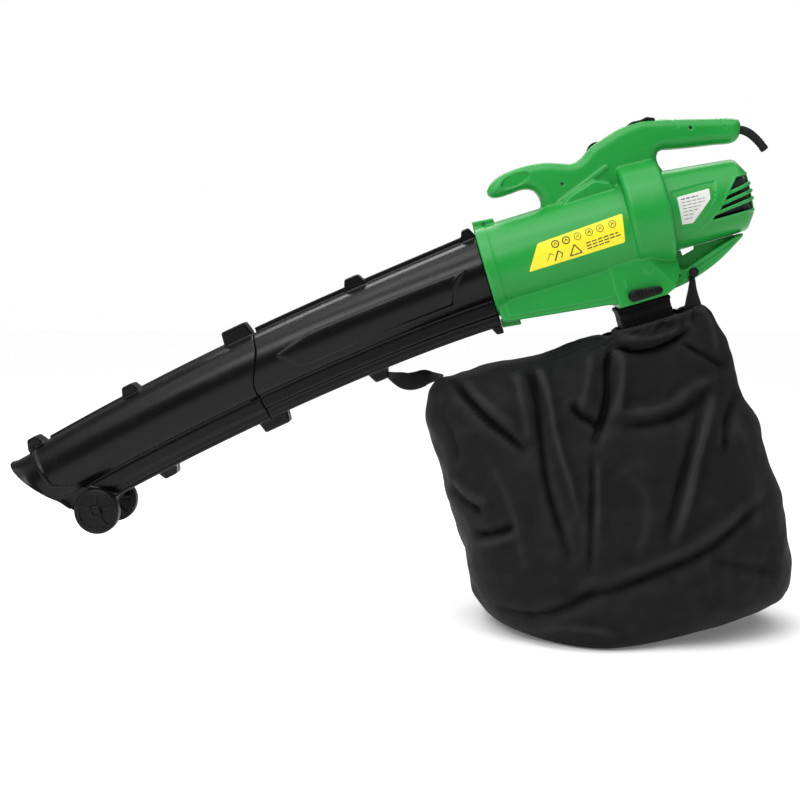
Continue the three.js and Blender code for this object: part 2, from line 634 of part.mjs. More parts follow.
// Stickers follow the surface that they are on.
function makeLabels() {
  const skin = (radius, grow, length) => solid(rod(-length, length, radius + grow, 88));
  const barrelSkin = skin(BARREL.radius, FILM_TOP, 210).subtract(skin(BARREL.radius, GAP, 220))
    .translate([0, 0, BARREL.z]);
  const caution = plate(polygon(cautionOutline), -90, -20);
  place(machine, 'caution_label', barrelSkin.intersect(caution), yellow);
  const coverSkin = solid(spun(coverProfile(FILM_TOP), 64)).subtract(solid(spun(coverProfile(GAP), 64)));
  const rating = plate(polygon(ratingOutline), -90, -20);
  place(fanUnit, 'rating_label', coverSkin.intersect(rating), white);
}

// ---------------------------------------------------------------- motor and fan, about the motor axis

function makeFanAndMotor() {
  const { radius, back, depth, blades } = IMPELLER;
  const hub = ring(back - depth, back, SHAFT_RADIUS + GAP, 13);
  const disc = ring(back - 3, back, 8, radius, 36);
  const vanes = [];
  for (let i = 0; i < blades; i += 1) {
    const vane = new THREE.BoxGeometry(depth - 2, 2.4, radius - 14).translate(back - depth / 2 - 1, 0, 0);
    vane.rotateX(0.35).translate(0, 0, (radius + 9) / 2).rotateX((i / blades) * 2 * Math.PI);
    vanes.push(solid(vane));
  }
  const limit = solid(rod(back - depth - 5, back + 5, radius, 36));
  place(fanUnit, 'impeller', joined(hub, disc, ...vanes).intersect(limit), black);
  place(fanUnit, 'motor_shaft', solid(rod(-14, 128, SHAFT_RADIUS, 18)), steel);
  place(fanUnit, 'motor_bulkhead', ring(32, 36, 11.4, 50.5, 24), black);
  place(fanUnit, 'front_bearing', ring(30, 38, SHAFT_RADIUS + GAP, 11, 18), steel);
  place(fanUnit, 'motor_stator', ring(42, 90, 25.5, 40, 22), grey);
  place(fanUnit, 'motor_armature', ring(44, 88, SHAFT_RADIUS + GAP, 24.5, 20), copper);
  place(fanUnit, 'commutator', ring(92, 104, SHAFT_RADIUS + GAP, 11, 20), copper);
  for (const [name, side] of [['left', -1], ['right', 1]]) {
    const [near, far] = [side * 11.6, side * 30];
    place(fanUnit, `${name}_brush_holder`,
      block([93, Math.min(near, far), -5], [103, Math.max(near, far), 5]), grey);
  }
  const coolingHub = ring(107, 113, SHAFT_RADIUS + GAP, 9, 16);
  const coolingVanes = [];
  for (let i = 0; i < 7; i += 1) {
    const vane = new THREE.BoxGeometry(5, 1.8, 20).rotateZ(0.5).translate(110, 0, 17);
    coolingVanes.push(solid(vane.rotateX((i / 7) * 2 * Math.PI)));
  }
  place(fanUnit, 'cooling_fan', joined(coolingHub, ...coolingVanes), black);
  place(fanUnit, 'rear_bearing', ring(117, 124, SHAFT_RADIUS + GAP, 9.5, 18), steel);
  const spider = joined(ring(117, 124, 9.9, 14, 18), turnedBlock([7, 86, 9], [120.5, 0, 0]))
    .subtract(solid(rod(110, 130, 9.9, 18)));
  place(fanUnit, 'rear_bearing_bracket', spider, black);
}

// ---------------------------------------------------------------- controls

function makeControls() {
  const rockerShape = polygon([[rocker.from, rocker.base], ...rockerTop, [rocker.to, rocker.base]]);
  const rockerBody = plate(rockerShape, -rocker.halfWidth, rocker.halfWidth, 1.5, 2)
    .add(crossRod(rocker.x, rocker.z, -11, 11, 2.2, 16));
  place(machine, 'power_switch', rockerBody, black);
  place(machine, 'switch_module', block([242, -10, 106], [270, 10, 126]), grey);

  const teeth = 16;
  const rim = new THREE.Shape();
  for (let i = 0; i < 2 * teeth; i += 1) {
    const angle = (i / (2 * teeth)) * 2 * Math.PI;
    const radius = i % 2 === 0 ? dial.radius : dial.radius - 0.9;
    const point = [radius * Math.cos(angle), radius * Math.sin(angle)];
    if (i === 0) rim.moveTo(...point);
    else rim.lineTo(...point);
  }
  const wheel = plate(rim, -dial.halfWidth, dial.halfWidth).translate([dial.x, 0, dial.z]);
  place(machine, 'speed_dial', wheel.add(crossRod(dial.x, dial.z, -6, 6, 2.5, 16)), black);
  place(machine, 'speed_board', block([176, 7, 101], [206, 8.6, 121]), board);

  const pill = new THREE.Shape();
  const lean = Math.atan2(lever.tipZ - lever.z, lever.tipX - lever.x);
  pill.absarc(lever.x, lever.z, lever.hubRadius, lean + Math.PI / 2, lean - Math.PI / 2, false);
  pill.absarc(lever.tipX, lever.tipZ, lever.tipRadius, lean - Math.PI / 2, lean + Math.PI / 2, false);
  const handle = plate(pill, lever.outer, lever.inner, 1.5, 1);
  const spindle = crossRod(lever.x, lever.z, lever.inner - 1, -46 - GAP, lever.spindleRadius, 16);
  const flap = block([lever.x - 1.5, -46, lever.z], [lever.x + 1.5, 46, lever.z + 22]);
  const flapBarrel = crossRod(lever.x, lever.z, -46, 46, lever.spindleRadius, 16);
  place(machine, 'mode_lever', handle.add(spindle), black);
  place(machine, 'diverter_flap', flap.add(flapBarrel), grey);
  const pegStem = crossRod(peg.x, peg.z, peg.head, peg.from, peg.radius);
  const pegHead = crossRod(peg.x, peg.z, peg.end, peg.head, peg.headRadius);
  place(machine, 'strap_peg', pegStem.add(pegHead), black);
}

// ---------------------------------------------------------------- mains lead and its guard

function makeLead() {
  const past = block([GUARD.from + GAP, -30, 0], [FAR, 30, 200]);
  const sleeve = bar(cordRoute, GUARD.radius, 10, 8).intersect(past);
  const { baseRadius, radius } = GUARD;
  const baseProfile = [[0, 0], [0, baseRadius], [3, baseRadius], [9, radius - 0.4], [9, 0]];
  const base = solid(spun(baseProfile, 24).rotateY(0.1).translate(382.6, 0, 93.6));
  const bore = bar(leadRoute, GUARD.lead + GAP, 12, 8);
  const tip = block([390, -20, 0], [430, 20, 59.5]);
  place(machine, 'cord_guard', sleeve.add(base).subtract(bore), black);
  place(machine, 'mains_lead', bar(leadRoute, GUARD.lead, 12, 8).subtract(tip), black);
}

// ---------------------------------------------------------------- bag, its connector and straps

// The bag in upright layers: height, front edge, back edge and half width.
const bagLayers = [
  [0, 158, 410, 126], [4, 146, 444, 138], [10, 132, 476, 146], [20, 119, 503, 149], [31, 112, 523, 149.5],
  [44, 106, 536, 149.5], [65, 101, 543, 149], [100, 92, 543, 144], [160, 77, 534, 134], [220, 58, 517, 119],
  [280, 43, 495, 101], [322, 38, 477, 84], [345, 60, 467, 72], [367, 168, 461, 60], [383, 220, 455, 50],
  [398, 278, 449, 43], [412, 306, 443, 36], [434, 372, 433, 20], [446, 404, 427, 8],
];

// The bag is fuller towards the front than towards the back by this share of its width.
const BAG_EGG = 0.2;
const BAG_SHOULDER = 345;

function bagSkin(inset, sides = 24, power = 0.86) {
  const top = bagLayers.length - 1;
  const rings = bagLayers.map(([height, front, back, halfWidth], layer) => {
    const z = layer === 0 ? height + inset : Math.min(height, bagLayers[top][0] - inset);
    const half = Math.max((back - front) / 2 - inset, 1);
    const width = Math.max(halfWidth - inset, 1);
    const middle = (front + back) / 2;
    const lean = height < BAG_SHOULDER ? 1 : 0;
    return Array.from({ length: sides }, (_, i) => {
      const angle = (i / sides) * 2 * Math.PI;
      const [c, s] = [Math.cos(angle), Math.sin(angle)];
      const x = middle + half * Math.sign(c) * Math.abs(c) ** power;
      const across = width * (1 - BAG_EGG * c * lean) * Math.sign(s) * Math.abs(s) ** power;
      return new THREE.Vector3(x, across, z);
    });
  });
  return loft(rings);
}

const frontStrapOutline = [[-6, 347], [-4, 356], [20, 360], [66, 352], [60, 330], [20, 336], [4, 338]];
const rearStrapOutline = [[393, 482], [403, 478], [410, 438], [389, 446]];

// A box given in the machine's frame, as a solid in the upright frame.
function machineBlock([x0, y0, z0], [x1, y1, z1]) {
  const geometry = new THREE.BoxGeometry(x1 - x0, y1 - y0, z1 - z0);
  geometry.translate((x0 + x1) / 2, (y0 + y1) / 2, (z0 + z1) / 2);
  return solid(geometry.rotateY(-MACHINE_TILT).translate(...COLLAR));
}

function makeBag() {
  const { x, halfLength, halfWidth, top, bottom, wall } = CONNECTOR;
  const outer = [[x - halfLength, -halfWidth, bottom], [x + halfLength, halfWidth, top]];
  const connector = block(...outer).subtract(block([x - halfLength + wall, -halfWidth + wall, bottom - 1],
    [x + halfLength - wall, halfWidth - wall, top + 1]));
  place(machine, 'bag_connector', connector, black);
  const neckTop = -118;
  const collar = GAP + BAG_WALL;
  const neck = machineBlock([x - halfLength - collar, -halfWidth - collar, -165],
    [x + halfLength + collar, halfWidth + collar, neckTop]);
  const mouth = machineBlock([x - halfLength - GAP, -halfWidth - GAP, -172],
    [x + halfLength + GAP, halfWidth + GAP, neckTop + 4]);
  const bag = bagSkin(0).add(neck).subtract(bagSkin(BAG_WALL, 16)).subtract(mouth);
  place(group, 'collection_bag', bag, fabric);

  const keepOut = bagSkin(-GAP);
  const front = plate(polygon(frontStrapOutline), -1.5, 1.5);
  place(group, 'front_strap', front.subtract(keepOut), fabric);
  const rear = plate(polygon(rearStrapOutline), -24, -21.5);
  place(group, 'rear_strap', rear.subtract(keepOut), fabric);
}

makeUpperTube();
makeLowerTube();
makeTubeScrews();
makeNozzleWheels();
makeHousing();
makeRearCover();
makeLabels();
makeFanAndMotor();
makeControls();
makeLead();
makeBag();

// The origin is at the middle of the footprint, with the base on z = 0.
group.updateMatrixWorld(true);
const extent = new THREE.Box3().setFromObject(group, true);
group.position.set(-(extent.min.x + extent.max.x) / 2, -(extent.min.y + extent.max.y) / 2, -extent.min.z);
group.updateMatrixWorld(true);

export default group;
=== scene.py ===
# Corded garden blower vacuum standing on its collection bag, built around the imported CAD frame.
# Shapes are laid out in millimetres in the machine's own frame (x back along the barrel, z up from it,
# y across, left is y < 0), in the fan unit's frame for its cover, and upright for the bag, and brought to
# the world in metres.
import json
import math
import bpy
import numpy as np
from mathutils import Matrix, Vector, noise


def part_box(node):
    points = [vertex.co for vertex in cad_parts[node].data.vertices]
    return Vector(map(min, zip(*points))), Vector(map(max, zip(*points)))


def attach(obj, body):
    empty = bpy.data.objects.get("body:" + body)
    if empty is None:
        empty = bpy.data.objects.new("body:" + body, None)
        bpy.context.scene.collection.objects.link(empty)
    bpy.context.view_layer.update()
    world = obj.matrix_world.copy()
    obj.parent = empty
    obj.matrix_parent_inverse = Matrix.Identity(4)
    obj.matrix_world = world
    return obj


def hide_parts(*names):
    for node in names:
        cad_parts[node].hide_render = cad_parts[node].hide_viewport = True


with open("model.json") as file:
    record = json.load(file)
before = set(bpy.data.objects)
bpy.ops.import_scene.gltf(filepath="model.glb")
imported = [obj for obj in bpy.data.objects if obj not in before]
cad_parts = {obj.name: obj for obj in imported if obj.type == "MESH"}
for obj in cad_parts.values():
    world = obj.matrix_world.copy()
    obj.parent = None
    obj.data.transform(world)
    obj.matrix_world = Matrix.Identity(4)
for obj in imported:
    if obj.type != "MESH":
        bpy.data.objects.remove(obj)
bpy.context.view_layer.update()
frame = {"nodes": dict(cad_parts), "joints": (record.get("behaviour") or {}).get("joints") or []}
NODES = frame["nodes"]
JOINTS = {j["name"]: j for j in frame["joints"]}
MM = 0.001
VOXEL = 1.5

# -------- frames

pull = Vector(JOINTS["bag_pull"]["axis"])
TILT = math.atan2(pull.x, -pull.z)
AXIS_X = Vector((math.cos(TILT), 0, math.sin(TILT)))
AXIS_Z = Vector((-math.sin(TILT), 0, math.cos(TILT)))
ROCKER = (256, 134)
ORIGIN = Vector(JOINTS["power_rocker"]["pos_m"]) - AXIS_X * ROCKER[0] * MM - AXIS_Z * ROCKER[1] * MM


def frame_matrix(x_axis, z_axis, origin):
    y_axis = z_axis.cross(x_axis)
    m = Matrix((x_axis, y_axis, z_axis)).transposed().to_4x4()
    m.translation = origin
    return m @ Matrix.Scale(MM, 4)


MACHINE = frame_matrix(AXIS_X, AXIS_Z, ORIGIN)
fan_axis = Vector(JOINTS["rotor_spin"]["axis"])
FAN = frame_matrix(fan_axis, Vector((-fan_axis.z, 0, fan_axis.x)), Vector(JOINTS["rotor_spin"]["pos_m"]))
BAG_FRONT = 38
UPRIGHT = Matrix.Translation((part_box("collection_bag")[0].x - BAG_FRONT * MM, 0, 0)) @ Matrix.Scale(MM, 4)

# -------- camera

YAW, ELEVATION, DISTANCE = math.radians(4.0), math.radians(6.5), 1.761
TARGET = Vector((0.012, 0, 0.311))
back = Vector((math.sin(YAW) * math.cos(ELEVATION), -math.cos(YAW) * math.cos(ELEVATION),
               math.sin(ELEVATION)))
camera = bpy.data.objects.new("camera", bpy.data.cameras.new("camera"))
camera.data.sensor_width = 36
camera.data.lens = 56.25
camera.location = TARGET + back * DISTANCE
camera.rotation_euler = back.to_track_quat("Z", "Y").to_euler()
camera.data.clip_end = 50
bpy.context.scene.collection.objects.link(camera)
bpy.context.scene.camera = camera

# -------- node materials


class Nodes:
    """A small helper that adds shader nodes and links them."""

    def __init__(self, name):
        self.material = bpy.data.materials.new(name)
        self.material.use_nodes = True
        self.tree = self.material.node_tree
        self.shader = next(n for n in self.tree.nodes if n.type == "BSDF_PRINCIPLED")

    def node(self, kind, **inputs):
        made = self.tree.nodes.new("ShaderNode" + kind)
        for key, value in inputs.items():
            if hasattr(made, key):
                setattr(made, key, value)
            else:
                self.put(made.inputs[key.replace("_", " ")], value)
        return made

    def put(self, socket, value):
        if isinstance(value, bpy.types.NodeSocket):
            self.tree.links.new(value, socket)
        elif hasattr(socket.default_value, "__len__") and hasattr(value, "__len__"):
            socket.default_value = [*value, 1][: len(socket.default_value)]
        else:
            socket.default_value = value

    def set(self, **inputs):
        for key, value in inputs.items():
            self.put(self.shader.inputs[key.replace("_", " ")], value)

    def math(self, operation, a, b=0.0):
        made = self.tree.nodes.new("ShaderNodeMath")
        made.operation = operation
        self.put(made.inputs[0], a)
        self.put(made.inputs[1], b)
        return made.outputs[0]

    def ramp(self, factor, low, high, a=0.0, b=1.0):
        made = self.tree.nodes.new("ShaderNodeMapRange")
        for socket, value in zip(made.inputs[:5], (factor, low, high, a, b)):
            self.put(socket, value)
        return made.outputs[0]

    def mix(self, factor, a, b):
        made = self.tree.nodes.new("ShaderNodeMix")
        made.data_type = "RGBA"
        self.put(made.inputs[0], factor)
        self.put(made.inputs[6], a)
        self.put(made.inputs[7], b)
        return made.outputs[2]

    def noise(self, vector, scale, detail=2.0, rough=0.5):
        made = self.node("TexNoise", Scale=scale, Detail=detail, Roughness=rough)
        self.put(made.inputs["Vector"], vector)
        return made.outputs["Fac"]

    def bump(self, height, strength, distance, normal=None):
        made = self.node("Bump", Strength=strength, Distance=distance)
        self.put(made.inputs["Height"], height)
        if normal is not None:
            self.put(made.inputs["Normal"], normal)
        return made.outputs["Normal"]


def moulded(name, base, light, roughness, grain=0.00035, gloss=0.5):
    """Injection-moulded plastic: a fine eroded grain, faint flow marks, and paler handled edges."""
    relief, edge_wear, scuffing = 0.35, 0.35, 0.10
    n = Nodes(name)
    where = n.node("TexCoord").outputs["Object"]
    cloud = n.noise(where, 9.0, 4.0, 0.6)
    fine = n.noise(where, 1.0 / (grain * 2.2), 2.0, 0.6)
    cells = n.node("TexVoronoi", Scale=0.42 / grain)
    n.put(cells.inputs["Vector"], where)
    worn = n.ramp(n.node("NewGeometry").outputs["Pointiness"], 0.5, 0.58)
    scuffs = n.ramp(n.noise(where, 60.0, 5.0, 0.7), 0.55, 0.8)
    colour = n.mix(n.ramp(cloud, 0.3, 0.7), [c * 0.9 for c in base], base)
    colour = n.mix(n.math("MULTIPLY", worn, edge_wear), colour, light)
    colour = n.mix(n.math("MULTIPLY", scuffs, scuffing), colour, light)
    n.set(Base_Color=colour)
    rough = n.math("ADD", n.ramp(cloud, 0.3, 0.7, roughness - 0.04, roughness + 0.05),
                   n.math("MULTIPLY", scuffs, scuffing))
    n.set(Roughness=rough, Specular_IOR_Level=gloss)
    height = n.math("ADD", n.math("MULTIPLY", cells.outputs["Distance"], 0.6), fine)
    n.set(Normal=n.bump(height, relief, grain * 0.45))
    return n.material


def fabric(name, base, light, pitch, sheen):
    """A plain weave drawn in the piece's own UV, in metres, with painted shade darkening the creases and a
    painted highlight paling the ridges.
    """
    # how dark the painted shade in creases is, and how bright the painted highlight on ridges is
    roughness, painted_crease_shade, painted_ridge_glint = 0.62, 0.12, 2.4
    n = Nodes(name)
    uv = n.node("UVMap", uv_map="cloth").outputs["UV"]
    where = n.node("TexCoord").outputs["Object"]
    split = n.node("SeparateXYZ")
    n.put(split.inputs[0], uv)
    across = n.math("MULTIPLY", split.outputs[0], math.pi / pitch)
    along = n.math("MULTIPLY", split.outputs[1], math.pi / pitch)
    wave_a, wave_b = n.math("SINE", across), n.math("SINE", along)
    checker = n.math("MULTIPLY", wave_a, wave_b)
    thread = n.math("ADD", n.math("ABSOLUTE", wave_a), n.math("ABSOLUTE", wave_b))
    weave = n.math("ADD", n.math("MULTIPLY", checker, 0.5), n.math("MULTIPLY", thread, 0.35))
    cloud = n.noise(where, 14.0, 4.0, 0.55)
    slub = n.noise(where, 420.0, 2.0, 0.6)
    crumple = n.noise(where, 38.0, 5.0, 0.62)
    shade = n.math("ADD", n.ramp(weave, -0.4, 1.1, 0.0, 0.55), n.ramp(cloud, 0.3, 0.7, 0.0, 0.35))
    # painted shade and highlight: concave creases, found from the mesh's pointiness, are darkened, and convex
    # ridges are made paler
    bend = n.node("NewGeometry").outputs["Pointiness"]
    colour = n.mix(n.ramp(bend, 0.455, 0.498), [c * painted_crease_shade for c in base],
                   n.mix(shade, base, light))
    ridge = n.ramp(bend, 0.503, 0.55, 0.0, 0.6)
    n.set(Base_Color=n.mix(ridge, colour, [c * painted_ridge_glint for c in light]))
    n.set(Roughness=n.ramp(slub, 0.3, 0.7, roughness - 0.06, roughness + 0.08))
    n.set(Sheen_Weight=sheen, Sheen_Roughness=0.35, Specular_IOR_Level=0.07)
    folds = n.bump(crumple, 0.30, 0.0022)
    n.set(Normal=n.bump(n.math("ADD", weave, n.math("MULTIPLY", slub, 0.4)), 0.55, pitch * 0.30, folds))
    return n.material


def metal(name, base, light, roughness, stretch=(1, 1, 30)):
    """Turned or drawn metal with fine tool lines and dull patches."""
    n = Nodes(name)
    where = n.node("TexCoord").outputs["Object"]
    lines = n.node("Mapping")
    n.put(lines.inputs["Vector"], where)
    lines.inputs["Scale"].default_value = stretch
    brushed = n.noise(lines.outputs[0], 160.0, 3.0, 0.6)
    cloud = n.noise(where, 55.0, 4.0, 0.6)
    n.set(Base_Color=n.mix(n.ramp(cloud, 0.35, 0.7), base, light), Metallic=1.0)
    n.set(Roughness=n.ramp(brushed, 0.3, 0.7, roughness - 0.07, roughness + 0.10))
    n.set(Normal=n.bump(brushed, 0.25, 0.0002))
    return n.material


def printed(name, base, roughness):
    """Printed film with a faint orange peel and a tone that darkens slightly in random patches."""
    n = Nodes(name)
    where = n.node("TexCoord").outputs["Object"]
    cloud = n.noise(where, 30.0, 4.0, 0.6)
    peel = n.noise(where, 700.0, 2.0, 0.5)
    n.set(Base_Color=n.mix(n.ramp(cloud, 0.35, 0.75), base, [c * 0.86 for c in base]))
    n.set(Roughness=n.ramp(cloud, 0.3, 0.7, roughness - 0.05, roughness + 0.07))
    n.set(Normal=n.bump(peel, 0.2, 0.00015))
    return n.material


GREEN = moulded("green_plastic", (0.010, 0.29, 0.038), (0.07, 0.50, 0.15), 0.33, gloss=0.32)
BLACK = moulded("black_plastic", (0.0022, 0.0022, 0.0024), (0.022, 0.022, 0.022), 0.21, 0.0004, 0.21)
SATIN = moulded("satin_black_plastic", (0.0032, 0.0032, 0.0035), (0.026, 0.026, 0.026), 0.38, 0.0005, 0.18)
MATTE = moulded("matte_black_plastic", (0.0036, 0.0036, 0.0039), (0.024, 0.024, 0.024), 0.6, 0.0005, 0.06)
GREY = moulded("grey_plastic", (0.09, 0.095, 0.10), (0.16, 0.16, 0.17), 0.5)
RUBBER = moulded("soft_rubber", (0.004, 0.004, 0.004), (0.022, 0.022, 0.022), 0.58, 0.0006, 0.3)
BOARD = moulded("circuit_board", (0.01, 0.09, 0.03), (0.05, 0.2, 0.08), 0.4)
FABRIC = fabric("bag_fabric", (0.0065, 0.0065, 0.0068), (0.0155, 0.0155, 0.016), 0.0011, 0.03)
WEBBING = fabric("webbing", (0.004, 0.004, 0.004), (0.016, 0.016, 0.016), 0.0016, 0.06)
YELLOW = printed("yellow_label", (0.90, 0.78, 0.02), 0.38)
WHITE = printed("white_label", (0.72, 0.73, 0.70), 0.42)
INK = printed("label_ink", (0.02, 0.02, 0.02), 0.4)
STEEL = metal("steel", (0.42, 0.43, 0.45), (0.62, 0.63, 0.65), 0.34)
LAMINATED = metal("laminated_steel", (0.14, 0.14, 0.15), (0.28, 0.28, 0.29), 0.45, (160, 1, 1))
COPPER = metal("copper", (0.45, 0.19, 0.08), (0.70, 0.34, 0.16), 0.36)

# -------- meshes


def make(name, verts, faces, material, body, space=MACHINE, stands_for=(), slot=None, sharp=35):
    """A mesh piece from points in mm in a frame, riding on a CAD body; it may stand for CAD nodes."""
    mesh = bpy.data.meshes.new(name)
    points = np.asarray(verts, np.float64) @ np.array(space.to_3x3()).T + np.array(space.translation)
    if isinstance(faces, np.ndarray):
        count, sides = faces.shape
        mesh.vertices.add(len(points))
        mesh.vertices.foreach_set("co", points.astype(np.float32).ravel())
        mesh.loops.add(count * sides)
        mesh.loops.foreach_set("vertex_index", faces.astype(np.int32).ravel())
        mesh.polygons.add(count)
        mesh.polygons.foreach_set("loop_start", np.arange(0, count * sides, sides, dtype=np.int32))
        mesh.update(calc_edges=True)
        mesh.validate()
    else:
        mesh.from_pydata([tuple(p) for p in points], [], faces)
    mesh.shade_smooth()
    if sharp:
        mesh.set_sharp_from_angle(angle=math.radians(sharp))
    obj = bpy.data.objects.new(name, mesh)
    bpy.context.scene.collection.objects.link(obj)
    obj.data.materials.append(material)
    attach(obj, body)
    if stands_for:
        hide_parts(*stands_for)
    return obj


def run_of(points):
    """The distance along a path at each of its points."""
    return np.concatenate([[0], np.cumsum(np.linalg.norm(np.diff(points, axis=0), axis=1))])


def unit_tangents(points):
    tangent = np.gradient(points, axis=0)
    return tangent / np.linalg.norm(tangent, axis=1)[:, None]


def walk(points, run, wanted):
    """Points of a path at the wanted distances along it."""
    return np.stack([np.interp(wanted, run, points[:, k]) for k in range(points.shape[1])], 1)


def smooth_path(points, count, closed=False):
    """Points evenly spaced on a centripetal Catmull-Rom curve."""
    p = np.asarray(points, float)
    if closed:
        p = np.vstack([p[-1:], p, p[:2]])
    else:
        p = np.vstack([2 * p[:1] - p[1:2], p, 2 * p[-1:] - p[-2:-1]])
    out = []
    for p0, p1, p2, p3 in zip(p[:-3], p[1:-2], p[2:-1], p[3:]):
        chords = [max(np.linalg.norm(b - a), 1e-6) ** 0.5 for a, b in ((p0, p1), (p1, p2), (p2, p3))]
        t = np.cumsum([0.0] + chords)
        for s in np.linspace(t[1], t[2], 24, endpoint=False):
            a1 = ((t[1] - s) * p0 + (s - t[0]) * p1) / (t[1] - t[0])
            a2 = ((t[2] - s) * p1 + (s - t[1]) * p2) / (t[2] - t[1])
            a3 = ((t[3] - s) * p2 + (s - t[2]) * p3) / (t[3] - t[2])
            b1 = ((t[2] - s) * a1 + (s - t[0]) * a2) / (t[2] - t[0])
            b2 = ((t[3] - s) * a2 + (s - t[1]) * a3) / (t[3] - t[1])
            out.append(((t[2] - s) * b1 + (s - t[1]) * b2) / (t[2] - t[1]))
    out.append(out[0] if closed else p[-2])
    run = run_of(out)
    return walk(np.array(out), run, np.linspace(0, run[-1], count + closed)[:count])


def grid_faces(rows, columns, wrap=True, flip=False):
    """Quads over rows of points, where each row may close on itself."""
    i, j = np.meshgrid(np.arange(rows - 1), np.arange(columns if wrap else columns - 1), indexing="ij")
    k = (j + 1) % columns
    quad = np.stack([i * columns + j, i * columns + k, (i + 1) * columns + k, (i + 1) * columns + j], -1)
    quad = quad.reshape(-1, 4)
    return quad[:, ::-1].copy() if flip else quad


def lathe(profile, segments=64, axis=0):
    """Points and faces of a body of revolution; the profile is a list of (along, radius)."""
    along, radius = np.array(profile, float).T
    angle = np.linspace(0, 2 * math.pi, segments, endpoint=False)
    u = along[:, None] + 0 * angle
    v, w = radius[:, None] * np.cos(angle), radius[:, None] * np.sin(angle)
    columns = {0: (u, v, w), 1: (w, u, v), 2: (v, w, u)}[axis]
    points = np.stack(columns, -1).reshape(-1, 3)
    return points, grid_faces(len(along), segments, flip=True)


# -------- distance fields


def smin(a, b, k):
    h = np.clip(0.5 + 0.5 * (b - a) / k, 0, 1)
    return b + (a - b) * h - k * h * (1 - h)


def smax(a, b, k):
    return -smin(-a, -b, k)


def both(a, b, r):
    """The part inside both, with its outer corner rounded to radius r."""
    p, q = a + r, b + r
    return np.hypot(np.maximum(p, 0), np.maximum(q, 0)) + np.minimum(np.maximum(p, q), 0) - r


def outline(points, u, v):
    """Signed distance to a polygon, negative inside."""
    points = np.asarray(points, float)
    u, v = np.broadcast_arrays(u, v)
    best = np.full(u.shape, 1e9)
    inside = np.zeros(u.shape, bool)
    for a, b in zip(points, np.roll(points, -1, 0)):
        e = b - a
        pu, pv = u - a[0], v - a[1]
        t = np.clip((pu * e[0] + pv * e[1]) / max(e @ e, 1e-9), 0, 1)
        best = np.minimum(best, (pu - t * e[0]) ** 2 + (pv - t * e[1]) ** 2)
        if a[1] != b[1]:
            crosses = (a[1] > v) != (b[1] > v)
            inside ^= crosses & (pu < pv * e[0] / e[1])
    return np.where(inside, -1, 1) * np.sqrt(best)


def segment_share(a, b, u, v):
    """Distance to a line from a to b in the plane, and how far along it, from 0 to 1."""
    e = np.subtract(b, a)
    t = np.clip(((u - a[0]) * e[0] + (v - a[1]) * e[1]) / (e @ e), 0, 1)
    return np.hypot(u - a[0] - t * e[0], v - a[1] - t * e[1]), t


def segment(a, b, u, v):
    return segment_share(a, b, u, v)[0]


def nearest_of(lines, u, v):
    return np.minimum.reduce([segment(a, b, u, v) for a, b in lines])


def slab(x, low, high):
    return np.abs(x - (low + high) / 2) - (high - low) / 2


def hole(x, z, sides, across):
    """A square-edged box: its sides in x and z, and a field across them."""
    return np.maximum(np.maximum(slab(x, *sides[:2]), slab(z, *sides[2:])), across)


def block(x, z, sides, corner, across, edge):
    """A box with rounded corners in x and z, and rounded edges across them."""
    return both(both(slab(x, *sides[:2]), slab(z, *sides[2:]), corner), across, edge)


def surface_net(field, axes):
    """Points and outward quads of the field's zero surface, one point for each grid cell it crosses."""
    shape = np.array(field.shape)
    strides = np.array([(shape[1] - 1) * (shape[2] - 1), shape[2] - 1, 1])
    total = int(np.prod(shape - 1))
    sums, counts, quads = np.zeros((3, total)), np.zeros(total), []
    for axis in range(3):
        first = [slice(None)] * 3
        second = [slice(None)] * 3
        first[axis], second[axis] = slice(0, -1), slice(1, None)
        f0, f1 = field[tuple(first)], field[tuple(second)]
        crossing = (f0 < 0) != (f1 < 0)
        p, q = others = [k for k in range(3) if k != axis]
        for k in others:
            edge = [slice(None)] * 3
            edge[k] = [0, shape[k] - 1]
            crossing[tuple(edge)] = False
        index = np.argwhere(crossing)
        a, b = f0[crossing], f1[crossing]
        t = a / (a - b)
        point = [axes[k][index[:, k]].astype(float) for k in range(3)]
        step = axes[axis][index[:, axis] + 1] - point[axis]
        point[axis] = point[axis] + t * step
        base = index @ strides
        corners = [base - strides[p] - strides[q], base - strides[q], base, base - strides[p]]
        for corner in corners:
            counts += np.bincount(corner, minlength=total)
            for k in range(3):
                sums[k] += np.bincount(corner, point[k], total)
        quad = np.stack(corners, 1)
        outward = a < b
        if axis == 1:
            outward = ~outward
        quads.append(np.where(outward[:, None], quad, quad[:, ::-1]))
    used = counts > 0
    number = np.cumsum(used) - 1
    return (sums[:, used] / counts[used]).T, number[np.vstack(quads)]


def settle(verts, field, axes, steps=3):
    """Moves points onto the field's zero surface, so that facets don't show."""
    slopes = np.gradient(field, *axes)
    for _ in range(steps):
        place = []
        for k in range(3):
            cell = np.clip(np.searchsorted(axes[k], verts[:, k]) - 1, 0, len(axes[k]) - 2)
            part = (verts[:, k] - axes[k][cell]) / (axes[k][cell + 1] - axes[k][cell])
            place.append((cell, np.clip(part, 0, 1)))
        values = []
        for grid in (field, *slopes):
            total = 0
            for corner in range(8):
                weight, index = 1, []
                for k in range(3):
                    high = corner >> k & 1
                    cell, part = place[k]
                    weight = weight * (part if high else 1 - part)
                    index.append(cell + high)
                total = total + weight * grid[tuple(index)]
            values.append(total)
        slope = np.stack(values[1:], 1)
        size = np.maximum((slope ** 2).sum(1), 0.25)
        step = np.clip(values[0] / size, -1.0, 1.0)
        verts = verts - slope * step[:, None] * 0.8
    return verts


def spaced(low, high, step):
    return np.linspace(low, high, max(int(round((high - low) / step)), 2) + 1)


def spaced_axes(low, high, step):
    return tuple(spaced(a, b, step) for a, b in zip(low, high))


def open_axes(axes):
    return axes[0][:, None, None], axes[1][None, :, None], axes[2][None, None, :]


